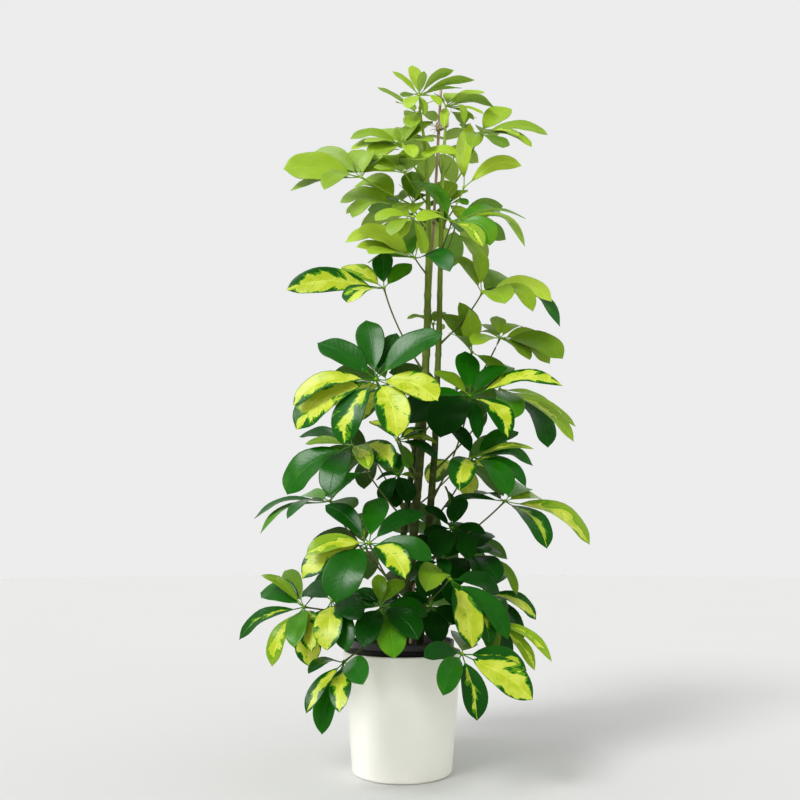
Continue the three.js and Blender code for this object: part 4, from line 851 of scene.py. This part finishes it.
class FoliageSettings(bpy.types.PropertyGroup):
    """The leaves' shape and colours."""
    blade_width: share("Blade width", "Width as a share of a blade's length", 0.48)
    stalk_share: share("Stalk", "Share of a leaflet that is its stalk", 0.15)
    thickness: length("Thickness", "Thickness of a blade at its midrib", 0.0008)
    fold: share("Fold", "How far a blade's margins rise, as a share of half its width", 0.24)
    ripple: share("Ripple", "Waves of a blade's margin, as a share of half its width", 0.07)
    petiole_radius: length("Petiole radius", "Radius of a petiole at its middle", 0.0012)
    # The darkest green is painted shade for leaflets in the others' shade, and the deep green is old leaves'
    # own and painted shade too.
    painted_shade_green: colour("Darkest", "Colour of shaded inner leaves", (0.004, 0.04, 0.002))
    old_and_painted_shade_green: colour("Deep green", "Colour of old leaves", (0.004, 0.062, 0.002))
    plain: colour("Plain green", "Colour of grown leaves", (0.01, 0.11, 0.002))
    middle: colour("Middle green", "Colour of half-grown leaves", (0.07, 0.24, 0.005))
    olive: colour("Olive", "Colour of leaves between green and lime", (0.18, 0.32, 0.012))
    lime: colour("Lime", "Colour of young leaves", (0.28, 0.44, 0.02))
    pale: colour("Pale lime", "Colour of the youngest leaves", (0.4, 0.56, 0.04))
    gold: colour("Gold", "Colour of the golden heart of a blade", (0.4, 0.5, 0.02))
    gold_light: colour("Light gold", "Colour of the paler parts of a golden heart", (0.54, 0.62, 0.07))
    halo: colour("Halo", "Colour between the golden heart and the green margin", (0.1, 0.3, 0.004))
    petiole: colour("Petiole", "Brown that dulls the green of a petiole", (0.15, 0.115, 0.05))
    # The pale underside is the blade's own paler lower face, taken more on lime leaves as painted light
    # shining through them.
    underside: colour("Underside", "Colour that pales the underside of a blade", (0.42, 0.58, 0.14))


class StudioSettings(bpy.types.PropertyGroup):
    """The floor, the light and the camera."""
    floor: colour("Floor", "Colour of the floor", (0.665, 0.665, 0.655))
    sky: colour("Surround", "Colour of the light all round", (0.84, 0.845, 0.84))
    sky_strength: share("Surround strength", "Strength of the light all round", 1.0)
    floor_radius: length("Floor radius", "Radius of the round floor", 9.0)
    key: share("Key light", "Strength of the soft light from the upper left", 2.0)
    key_spread: angle("Key spread", "How wide the key light looks from the plant", 22)
    key_lean: angle("Key lean", "How far the key light stands from straight above", 48)
    key_turn: angle("Key turn", "Turn of the key light from the front", -42)
    sheen: share("Sheen light", "Strength of the light that only shows in glossy surfaces", 5.5)
    sheen_spread: angle("Sheen spread", "How wide the sheen light looks from the plant", 30)
    sheen_lean: angle("Sheen lean", "How far the sheen light stands from straight above", 35)
    sheen_turn: angle("Sheen turn", "Turn of the sheen light from the front", -53)


SETTINGS = {"plant_pot": PotSettings, "plant_stems": StemSettings, "plant_foliage": FoliageSettings,
            "plant_studio": StudioSettings}


# -------------------------------------------------------------------------------- pieces
# Points round the pots, and points in each rounded corner of their walls.
POT_AROUND = 128
POT_BENDS = 5
GROWER_BENDS = 4


class PLANT_OT_cover_pot(bpy.types.Operator):
    """Make the tapered white pot with its thin rounded rim"""
    bl_idname = "plant.cover_pot"
    bl_label = "Cover Pot"

    def execute(self, context):
        pot = context.scene.plant_pot
        rim, base, top, wall = pot.rim_radius, pot.base_radius, pot.height, pot.wall
        core, floor, toe, toe_rise = 0.3 * base, 5 * MM, 2 * MM, 2.2 * MM
        lip, outer_lip, inner_lip = 1.4 * MM, 0.7 * MM, 0.5 * MM
        inner_foot = base + (rim - base) * floor / top - wall
        corners = ((core, 0), (base - toe, 0), (base, toe_rise), (rim, top - lip), (rim - outer_lip, top),
                   (rim - wall + inner_lip, top), (rim - wall, top - lip), (inner_foot, floor), (core, floor))
        shape = Shape()
        shape.add(lathe(rounded(corners, 1.2 * MM, POT_BENDS), POT_AROUND))
        shape.build("cover_pot_wall", white_finish(pot.white, pot.roughness), "white_pot", "cover_pot")
        return {"FINISHED"}


class PLANT_OT_grower_pot(bpy.types.Operator):
    """Make the thin black pot that stands inside the cover pot, with its rolled rim"""
    bl_idname = "plant.grower_pot"
    bl_label = "Grower's Pot"

    def execute(self, context):
        pot = context.scene.plant_pot
        low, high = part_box("grower_pot")
        rim, bottom = high[0], low[2]
        base, wall, lip, drop, ease = 58 * MM, 1.2 * MM, 3.5 * MM, 9 * MM, 1 * MM
        core, under, inside = 0.3 * base, GROWER_TOP - drop, rim - lip - wall
        corners = ((core, bottom), (base, bottom), (rim - lip, under - ease), (rim - 0.6 * MM, under),
                   (rim, under + ease), (rim, GROWER_TOP - ease), (rim - 1.2 * MM, GROWER_TOP),
                   (inside + 0.8 * MM, GROWER_TOP - 0.3 * MM), (inside, GROWER_TOP - 2 * MM),
                   (base - wall, bottom + wall), (core, bottom + wall))
        shape = Shape()
        shape.add(lathe(rounded(corners, 1 * MM, GROWER_BENDS), POT_AROUND))
        shape.build("grower_pot_wall", black_finish(pot.black), "grower_pot", "grower_pot")
        return {"FINISHED"}


# The soil's waves, rings and points round, and the heights in metres of its mound and clods.
SOIL_WAVES = 14
SOIL_TOP_RINGS = 44
SOIL_WALL_RINGS = 6
SOIL_AROUND = 110
MOUND = 4.6 * MM
CLODS = 0.45 * MM


def turned_crumb(dice, size):
    """Three rings of five points on a ball with uneven radii, turned and stretched by chance."""
    turned = np.linalg.qr(dice.normal(size=(3, 3)))[0] * (size * dice.uniform(0.6, 1.5, (1, 3)))
    lift = np.array((-0.7, 0.0, 0.7))[:, None]
    flat = np.sqrt(1 - lift ** 2) * dice.uniform(0.8, 1.15, (3, 5))
    turn = full_turn(5)
    ball = np.stack((flat * np.cos(turn), flat * np.sin(turn), np.broadcast_to(lift, flat.shape)), axis=-1)
    return ball @ turned.T


class PLANT_OT_soil(bpy.types.Operator):
    """Make the mounded soil, with clods that rise and fall over its top and loose crumbs on it"""
    bl_idname = "plant.soil"
    bl_label = "Soil"

    def execute(self, context):
        pot = context.scene.plant_pot
        low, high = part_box("soil")
        edge = high[0]
        dice = np.random.default_rng(7)
        ranges = (60, 420), (0, 2 * np.pi), (0, 2 * np.pi)
        waves = [dice.uniform(least, most, SOIL_WAVES) for least, most in ranges]

        def ground(x, y):
            """The soil's height: a low mound, plus waves of many widths and ways that die out at its edge."""
            out = np.hypot(x, y) / edge
            rough = sum(np.sin(w * (x * np.cos(a) + y * np.sin(a)) + p) / (0.4 + w / 120)
                        for w, a, p in zip(*waves))
            return SOIL_TOP + MOUND * (1 - out ** 2) + CLODS * rough * np.clip(4 * (1 - out), 0, 1)

        radius = np.concatenate((edge * 0.995 * np.linspace(0.02, 1, SOIL_TOP_RINGS),
                                 np.linspace(edge, edge * 0.86, SOIL_WALL_RINGS)))
        turn = full_turn(SOIL_AROUND)
        x, y = radius[:, None] * np.cos(turn), radius[:, None] * np.sin(turn)
        z = ground(x, y)
        z[SOIL_TOP_RINGS:] = np.linspace(SOIL_TOP - 1 * MM, low[2], SOIL_WALL_RINGS)[:, None]
        shape = Shape()
        shape.add(np.stack((x, y, z), axis=-1))
        shape.build("soil_bed", soil_finish(pot.soil_dark, pot.soil_light), "soil", "soil")

        crumbs = Shape()
        for _ in range(pot.crumbs):
            way, out = dice.uniform(0, 2 * np.pi), edge * 0.96 * np.sqrt(dice.uniform(0.0, 1))
            size = dice.uniform(0.5, 1.6) * MM
            middle = np.array((out * np.cos(way), out * np.sin(way), 0.0))
            middle[2] = ground(middle[0], middle[1]) + 0.3 * size
            crumbs.add(middle + turned_crumb(dice, size))
        crumbs.build("soil_crumbs", soil_finish(pot.soil_dark, pot.soil_light), "soil")
        return {"FINISHED"}


# A stem's rings and the points round each, and a scar's width as a share of the ring spacing.
STEM_STATIONS = 260
STEM_AROUND = 18
SCAR_WIDTH = 0.07


class PLANT_OT_stems(bpy.types.Operator):
    """Make the three woody stems, a little swollen at each leaf scar"""
    bl_idname = "plant.stems"
    bl_label = "Stems"

    def execute(self, context):
        stems = context.scene.plant_stems
        finish = bark_finish(stems.old_bark, stems.young_bark)
        for name in STEMS:
            line, radii = stem_line(name, np.linspace(0, 1, STEM_STATIONS))
            travelled = np.concatenate(([0], np.cumsum(np.linalg.norm(np.diff(line, axis=0), axis=1))))
            place = travelled / stems.ring_spacing + 0.3 * np.sin(travelled * 31)
            scar = np.exp(-(((place + 0.5) % 1 - 0.5) / SCAR_WIDTH) ** 2)
            # A ring's radius is the stem's times a share: a little less than one, plus three ridges that
            # wind up the stem, a wave along it and a swelling at each scar.
            turn = full_turn(STEM_AROUND)
            ridges = 0.05 * np.sin(3 * turn + 40 * travelled[:, None])
            gnarl = ridges + 0.03 * np.sin(travelled * 210)[:, None]
            width = radii[:, None] * (0.93 + gnarl + 0.12 * scar[:, None])
            shape = Shape("mark")
            shape.add(rings_on(line, width, STEM_AROUND, EAST), mark=scar[:, None, None] * np.ones(3))
            shape.build(f"stem_{name}_bark", finish, "stem", f"stem_{name}")
        return {"FINISHED"}


# The stake's rings and the points round each, and how far a knot swells and darkens it, as shares of its
# length.
STAKE_STATIONS = 240
STAKE_AROUND = 14
KNOT_WIDTH = 0.0035
KNOT_MARK = 0.002


class PLANT_OT_stake(bpy.types.Operator):
    """Make the thin bamboo stake with its knots"""
    bl_idname = "plant.stake"
    bl_label = "Stake"

    def execute(self, context):
        foot, tip = (seen(row, row[2]) for row in STAKE)
        foot = foot + (tip - foot) * ((STEM_FOOT - foot[2]) / (tip[2] - foot[2]))
        way = np.concatenate((np.linspace(0, 1, STAKE_STATIONS), (1.0,)))
        nearest = np.min(np.abs(way[:, None] - np.array(STAKE_KNOTS)), axis=1)
        # The cane tapers by an eighth, swells at its knots and is blunt at the top.
        knot = np.exp(-((nearest / KNOT_WIDTH) ** 2))
        radii = STAKE_RADIUS * (1.0 - 0.12 * way + 0.22 * knot)
        radii[-2:] = STAKE_RADIUS * np.array((0.8, 0.55))
        line = foot + way[:, None] * (tip - foot)
        line[-1] += unit(tip - foot) * 0.4 * MM
        mark = np.exp(-((nearest / KNOT_MARK) ** 2))
        shape = Shape("mark")
        shape.add(rings_on(line, radii, STAKE_AROUND, EAST), mark=mark[:, None, None] * np.ones(3))
        shape.build("stake_cane", cane_finish(context.scene.plant_stems.cane), "stake", "stake")
        return {"FINISHED"}


# Heights of the raffia's turns and the ways of its frayed ends, in millimetres from its middle, then the
# space it keeps from the stake and the stem, and half the thickness and width of a strand.
TIE_LEVELS = (-5.5, -3.4, -1.2, 0.9, 2.8, 5.2)
FRAYS = ((-14, 6, 9), (-17, -2, 3), (-12, -9, -7), (6, -10, 12), (-6, -11, -12))
TIE_STATIONS = 48
STRAND_AROUND = 8
TIE_SPACE = 2.2 * MM
TIE_SPACE_ACROSS = 2.4 * MM
STRAND_THICK = 0.5 * MM
STRAND_WIDE = 1.35 * MM
FRAY_STATIONS = 12
FRAY_AROUND = 6


class PLANT_OT_raffia_tie(bpy.types.Operator):
    """Wind strands of raffia round the stake and the right stem, with frayed ends"""
    bl_idname = "plant.raffia_tie"
    bl_label = "Raffia Tie"

    def execute(self, context):
        stake_foot, stake_tip = (seen(row, row[2]) for row in STAKE)
        stem_place, _ = stem_at("right", TIE_ROW)
        up_stake = (stem_place[2] - stake_foot[2]) / (stake_tip[2] - stake_foot[2])
        stake_place = stake_foot + up_stake * (stake_tip - stake_foot)
        middle = 0.5 * (stake_place + stem_place)
        sideways = (stem_place - stake_place) * (1, 1, 0)
        half = 0.5 * np.linalg.norm(sideways) + STAKE_RADIUS + TIE_SPACE
        sideways = unit(sideways)
        over = np.cross(UP, sideways)
        turn = full_turn(TIE_STATIONS)
        blunt = np.sign(np.cos(turn)) * np.abs(np.cos(turn)) ** 0.7
        shape = Shape()
        dice = np.random.default_rng(3)
        # A turn is a blunt oval: sideways by the cosine to a power, across by the sine, with a chance tilt.
        for level in TIE_LEVELS:
            tilt = dice.uniform(-1.6, 1.6) * MM
            grow = dice.uniform(0.1, 0.9) * MM
            path = (middle + sideways * ((half + grow) * blunt)[:, None]
                    + over * ((STAKE_RADIUS + TIE_SPACE_ACROSS + grow) * np.sin(turn))[:, None]
                    + UP * (level * MM + tilt * np.cos(turn + level))[:, None])
            tangent = unit(np.roll(path, -1, axis=0) - np.roll(path, 1, axis=0))
            out = np.cross(tangent, UP)
            round_it = full_turn(STRAND_AROUND)
            section = (out[:, None] * (STRAND_THICK * np.cos(round_it))[:, None]
                       + UP * (STRAND_WIDE * np.sin(round_it))[:, None])
            shape.add_loop(path[:, None] + section)
        for x, y, z in FRAYS:
            root = middle + sideways * np.sign(x) * (half + 0.4 * MM) + UP * z * MM / 3
            way = np.array((x, y, z)) * MM
            line, _ = bow(root, root + 0.6 * way + UP * 3 * MM, root + way, np.linspace(0, 1, FRAY_STATIONS))
            shape.add(rings_on(line, np.linspace(0.8, 0.25, FRAY_STATIONS) * MM, FRAY_AROUND))
        shape.build("raffia_strands", raffia_finish(context.scene.plant_stems.raffia), "raffia", "raffia_tie")
        return {"FINISHED"}


def closest(points, places, piece):
    """The place that coincides with one of the frame's points."""
    apart = np.linalg.norm(points[None] - places[:, None], axis=2).min(axis=1)
    best = int(np.argmin(apart))
    if apart[best] > CLOSE_ENOUGH:
        raise RuntimeError(f"{piece} isn't where the frame has it: off by {apart[best] / MM:.2f} mm")
    return best


def petiole_ways(leaf, hub):
    """For every slide of the petiole's foot along the stem, its start and control, the foot's outer point in
    the frame, and the stem's radius there."""
    if leaf.joins == TIP:
        (top,), (radius,) = stem_line(leaf.stem, [1.0])
        root = top + UP * GAP
        control = 0.5 * (root + hub)
        control[0] = root[0]
        return [(root, control, root + EAST * SHEATH_RADIUS, radius)]
    ways = []
    for slide in steps(SHEATH_STEPS):
        middle, radius = stem_at(leaf.stem, leaf.joins + slide * SHEATH_STEP)
        outward = unit((hub - middle) * (1, 1, 0))
        root = middle + outward * (radius + GAP)
        control = 0.5 * (root + hub) + outward * (PETIOLE_BOW * np.linalg.norm(hub - root))
        edge = root + np.cross(outward, UP) * SHEATH_RADIUS
        ways.append((root - outward * 0.5 * radius, control, edge, radius))
    return ways


# A leaflet's outline, its stations as shares of its length and the points round each, then its stalk, the
# waves along a margin, the centimetres in a metre that its veins and patches are laid out in, and the bow,
# twist and width of a tip that doesn't give them.
WEDGE_POWER = 0.8
TIP_POWER = 0.6
POINT_POWER = 20
STALK_STATIONS = np.array((0.0, 0.05, 0.1))
BLADE_STATIONS = 1 - (1 - np.linspace(0.0, 1.0, 16)[:-1]) ** 1.7
BLADE_AROUND = 16
STALK_RADIUS = 0.8 * MM
STALK_END = 0.12
MARGIN_WAVES = 2.2
SPOT_SCALE = 100.0
USUAL_TIP = (8, 0, 1)
HIDDEN_TIP = (0, 0, 0, 10)


def half_width(along):
    """The blade's outline: the share of its length to a power, times what is left of it to another, over
    the most that this reaches, so that it is a wedge below, widest past the middle and blunt at the tip."""
    widest = WEDGE_POWER / (WEDGE_POWER + TIP_POWER)
    return (along / widest) ** WEDGE_POWER * ((1 - along) / (1 - widest)) ** TIP_POWER


def leaflet_seed(leaf, leaflet):
    """A number from 0 to 1 for each leaflet: steps of the golden section, less the whole ones."""
    return (0.618034 * (17 * leaf + 5 * leaflet) + 0.137) % 1


def add_leaflet(shape, hub, tip, face, row, look, seed, foliage):
    """Adds a stalk and a blade that ends in a short point. Their middle line is the chord to the tip plus a
    lift that follows a sine. A ring at a station is its middle, plus half the width times the cosine
    across, plus three parts along the normal: the fold, which grows with the distance from the midrib and
    dies out towards the tip, a ripple of the margin, and half the thickness times the sine."""
    arch, twist, width = row[3:] + USUAL_TIP[len(row) - 3:]
    chord = tip - hub
    size = np.linalg.norm(chord)
    lift = across_from(UP, chord / size) * size * arch / 100

    def middle(s):
        return hub + chord * s[:, None] + lift * np.sin(np.pi * s ** 1.3)[:, None]

    stalk = foliage.stalk_share
    s = np.concatenate((STALK_STATIONS, stalk + (1 - stalk) * BLADE_STATIONS))
    u = np.clip((s - stalk) / (1 - stalk), 0, 1)
    tangent = unit(middle(np.minimum(s + 0.01, 1)) - middle(np.maximum(s - 0.01, 0)))
    normal = across_from(np.broadcast_to(face, tangent.shape), tangent)
    turn = np.radians(twist)
    across = np.cross(tangent, normal)
    cosine, sine = np.cos(turn), np.sin(turn)
    normal, across = normal * cosine + across * sine, across * cosine - normal * sine
    widest = 0.5 * foliage.blade_width * width * size * (1 - stalk)
    half = np.maximum(widest * half_width(u) * (1 - u ** POINT_POWER), STALK_RADIUS * (1 - u))
    on_blade = np.clip(u / STALK_END, 0, 1)
    thick = STALK_RADIUS * (1 - on_blade) + 0.5 * foliage.thickness * on_blade
    angle = full_turn(BLADE_AROUND)
    v = np.cos(angle)[None, :]
    ripple = foliage.ripple * v ** 2 * np.sin(2 * np.pi * (MARGIN_WAVES * u[:, None] + seed) + 1.3 * v)
    fold = foliage.fold * (1.1 - 1.2 * u[:, None] ** 2)
    rise = half[:, None] * (fold * np.abs(v) ** 1.3 + ripple * u[:, None])
    depth = rise + thick[:, None] * np.sin(angle)
    offset = half[:, None] * v
    rings = middle(s)[:, None] + across[:, None] * offset[..., None] + normal[:, None] * depth[..., None]
    poles = np.stack((middle(s[:1])[0], tip))
    grid = rings.shape[:2]
    upper = np.broadcast_to(np.clip(0.5 + 2 * np.sin(angle), 0, 1), grid)
    along_blade = np.broadcast_to(u[:, None], grid)
    blade = np.stack((np.broadcast_to(v, grid), along_blade, upper), axis=-1)
    spot = np.stack((np.where(u[:, None] > 0, offset * SPOT_SCALE, 1.0), along_blade * size * SPOT_SCALE,
                     np.full(grid, 40 * seed)), axis=-1)
    stalk_look = np.array((look[0] * 0.5 + 0.28, 0.0, 1.0))
    looks = np.where((u > 0.02)[:, None, None], np.array(look), stalk_look)
    shape.add(rings, poles, blade=blade, look=looks, spot=spot)


# Rings and points round a petiole and its hub, how brown a petiole is, and the hub's bead.
PETIOLE_STATIONS = 18
PETIOLE_AROUND = 8
PETIOLE_BROWN = 0.7
YOUNG_PETIOLE_BROWN = 0.35
HUB_STATIONS = 7
HUB_AROUND = 10
HUB_RADIUS = 2.9 * MM
HUB_HALF_HEIGHT = 2.3 * MM


def add_stem_part(shape, rings, hue, brown=0.0):
    """Adds a petiole or hub with a green of its own and a share of brown, and no veins."""
    blade, look, spot = np.array(((0.9, 0.5, 1.0 + brown), (hue, 0.0, 1.0), (1.0, 0.0, 0.0)))
    shape.add(rings, blade=blade, look=look, spot=spot)


class PLANT_OT_leaves(bpy.types.Operator):
    """Make each compound leaf: a petiole, a hub and its whorl of leaflets, bent as the frame has them"""
    bl_idname = "plant.leaves"
    bl_label = "Leaves"

    def execute(self, context):
        foliage = context.scene.plant_foliage
        finishes = {tone: leaf_finish(f"leaf_{tone}_blade", gloss, foliage)
                    for tone, gloss in LEAF_GLOSS.items()}
        for number, leaf in enumerate(LEAVES):
            node = f"leaf_{leaf.name}"
            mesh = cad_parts[node].data
            points = np.empty(3 * len(mesh.vertices), np.float32)
            mesh.vertices.foreach_get("co", points)
            points = points.reshape(-1, 3)
            hub = seen(leaf.hub, leaf.depth)
            face = unit(np.array(leaf.face, float))
            shape = Shape("blade", "look", "spot")
            self.add_petiole(shape, leaf, hub, face, points, foliage)
            reach = leaf.reach * MM
            wanted = [(row, tip_points(hub, reach, row)) for row in leaf.tips]
            wanted += [(HIDDEN_TIP, hidden_tips(hub, reach, face, turn)) for turn in leaf.rest]
            for place, ((row, tips), letter) in enumerate(zip(wanted, leaf.looks)):
                tip = tips[closest(points, tips, f"leaflet {place} of {node}")]
                seed = leaflet_seed(number, place)
                hue, gold, shade = LOOKS[letter]
                # Each letter's dimmed tone is painted shade on leaflets in shade; the seed varies it a little
                # at random.
                look = (hue + 0.06 * (seed - 0.5), gold * (0.9 + 0.2 * seed), shade * (0.94 + 0.12 * seed))
                add_leaflet(shape, hub, tip, face, row, look, seed, foliage)
            finish = finishes["shaded" if "K" in leaf.looks else leaf.tone]
            shape.build(f"{node}_blades", finish, f"leaf_{leaf.tone}", node)
        return {"FINISHED"}

    def add_petiole(self, shape, leaf, hub, face, points, foliage):
        """Adds a bowed tube that widens to a sheath at the stem and a cushion at the hub, then its bead."""
        ways = petiole_ways(leaf, hub)
        root, control, _, radius = ways[closest(points, np.array([way[2] for way in ways]), leaf.name)]
        way = np.linspace(0, 1, PETIOLE_STATIONS)
        line, _ = bow(root, control, hub, way)
        thin = foliage.petiole_radius
        foot = radius if leaf.joins == TIP else SHEATH_RADIUS
        width = np.interp(way, (0, 0.05, 0.16, 0.5, 0.93, 1),
                          (foot, 0.8 * foot, 1.25 * thin, thin, thin, 1.7 * thin))
        hue = PETIOLE_HUES[leaf.tone]
        brown = YOUNG_PETIOLE_BROWN if leaf.tone == "lime" else PETIOLE_BROWN
        add_stem_part(shape, rings_on(line, width, PETIOLE_AROUND), hue, brown)
        lift = np.linspace(-0.95, 0.95, HUB_STATIONS)
        bead = hub + face * (lift * HUB_HALF_HEIGHT)[:, None]
        rings = rings_on(bead, HUB_RADIUS * np.sqrt(1 - lift ** 2), HUB_AROUND)
        add_stem_part(shape, rings, min(hue + 0.25, 1.0))


# The floor's top and underside, and the points round it.
FLOOR_TOP = -0.3 * MM
FLOOR_FOOT = -20 * MM
FLOOR_AROUND = 96


class PLANT_OT_studio(bpy.types.Operator):
    """Set up the pale floor, the soft lights and the camera"""
    bl_idname = "plant.studio"
    bl_label = "Studio"

    def execute(self, context):
        studio = context.scene.plant_studio
        scene = context.scene
        radius = studio.floor_radius
        profile = ((radius * 0.02, FLOOR_TOP), (radius * 0.2, FLOOR_TOP), (radius, FLOOR_TOP),
                   (radius, FLOOR_FOOT), (radius * 0.02, FLOOR_FOOT))
        rings = lathe(profile, FLOOR_AROUND)
        mesh = bpy.data.meshes.new("floor")
        index = np.arange(len(profile) * FLOOR_AROUND).reshape(-1, FLOOR_AROUND)
        after = np.roll(index, -1, axis=1)
        quads = np.stack((index[:-1], index[1:], after[1:], after[:-1]), axis=-1).reshape(-1, 4)
        ends = [index[0].tolist(), index[-1][::-1].tolist()]
        mesh.from_pydata(rings.reshape(-1, 3).tolist(), [], quads.tolist() + ends)
        mesh.materials.append(floor_finish(studio.floor))
        floor = bpy.data.objects.new("floor", mesh)
        scene.collection.objects.link(floor)

        world = bpy.data.worlds.new("surround")
        world.use_nodes = True
        background = world.node_tree.nodes["Background"]
        background.inputs["Color"].default_value = (*studio.sky, 1.0)
        background.inputs["Strength"].default_value = studio.sky_strength
        scene.world = world

        for name, strength, spread, lean, turn in (
            ("key_light", studio.key, studio.key_spread, studio.key_lean, studio.key_turn),
            ("sheen_light", studio.sheen, studio.sheen_spread, studio.sheen_lean, studio.sheen_turn),
        ):
            lamp = bpy.data.lights.new(name, "SUN")
            lamp.energy, lamp.angle = strength, spread
            light = bpy.data.objects.new(name, lamp)
            light.rotation_euler = (lean, 0, turn)
            light.visible_diffuse = name == "key_light"
            scene.collection.objects.link(light)

        lens = bpy.data.cameras.new("front_camera")
        lens.sensor_width = 36
        lens.lens = 36 * VIEW_FOCAL / (2 * VIEW_MIDDLE)
        camera = bpy.data.objects.new("front_camera", lens)
        camera.location = EYE
        camera.rotation_euler = (np.pi / 2 + EYE_TILT, 0, 0)
        scene.collection.objects.link(camera)
        scene.camera = camera
        scene.view_settings.view_transform = "Standard"
        return {"FINISHED"}


OPERATORS = (PLANT_OT_cover_pot, PLANT_OT_grower_pot, PLANT_OT_soil, PLANT_OT_stems, PLANT_OT_stake,
             PLANT_OT_raffia_tie, PLANT_OT_leaves, PLANT_OT_studio)


class PLANT_PT_pieces(bpy.types.Panel):
    """Lists the plant's pieces and their settings"""
    bl_label = "Umbrella Plant"
    bl_idname = "PLANT_PT_pieces"
    bl_space_type = "VIEW_3D"
    bl_region_type = "UI"
    bl_category = "Plant"

    def draw(self, context):
        for operator in OPERATORS:
            self.layout.operator(operator.bl_idname)
        for name, group in SETTINGS.items():
            box = self.layout.box()
            box.label(text=group.__doc__)
            for setting in group.__annotations__:
                box.prop(getattr(context.scene, name), setting)


def register():
    for kind in (*SETTINGS.values(), *OPERATORS, PLANT_PT_pieces):
        bpy.utils.register_class(kind)
    for name, group in SETTINGS.items():
        setattr(bpy.types.Scene, name, PointerProperty(type=group))


def unregister():
    for name in SETTINGS:
        delattr(bpy.types.Scene, name)
    for kind in reversed((*SETTINGS.values(), *OPERATORS, PLANT_PT_pieces)):
        bpy.utils.unregister_class(kind)


def main():
    register()
    bpy.ops.plant.cover_pot()
    bpy.ops.plant.grower_pot()
    bpy.ops.plant.soil()
    bpy.ops.plant.stems()
    bpy.ops.plant.stake()
    bpy.ops.plant.raffia_tie()
    bpy.ops.plant.leaves()
    bpy.ops.plant.studio()


if __name__ == "__main__":
    main()
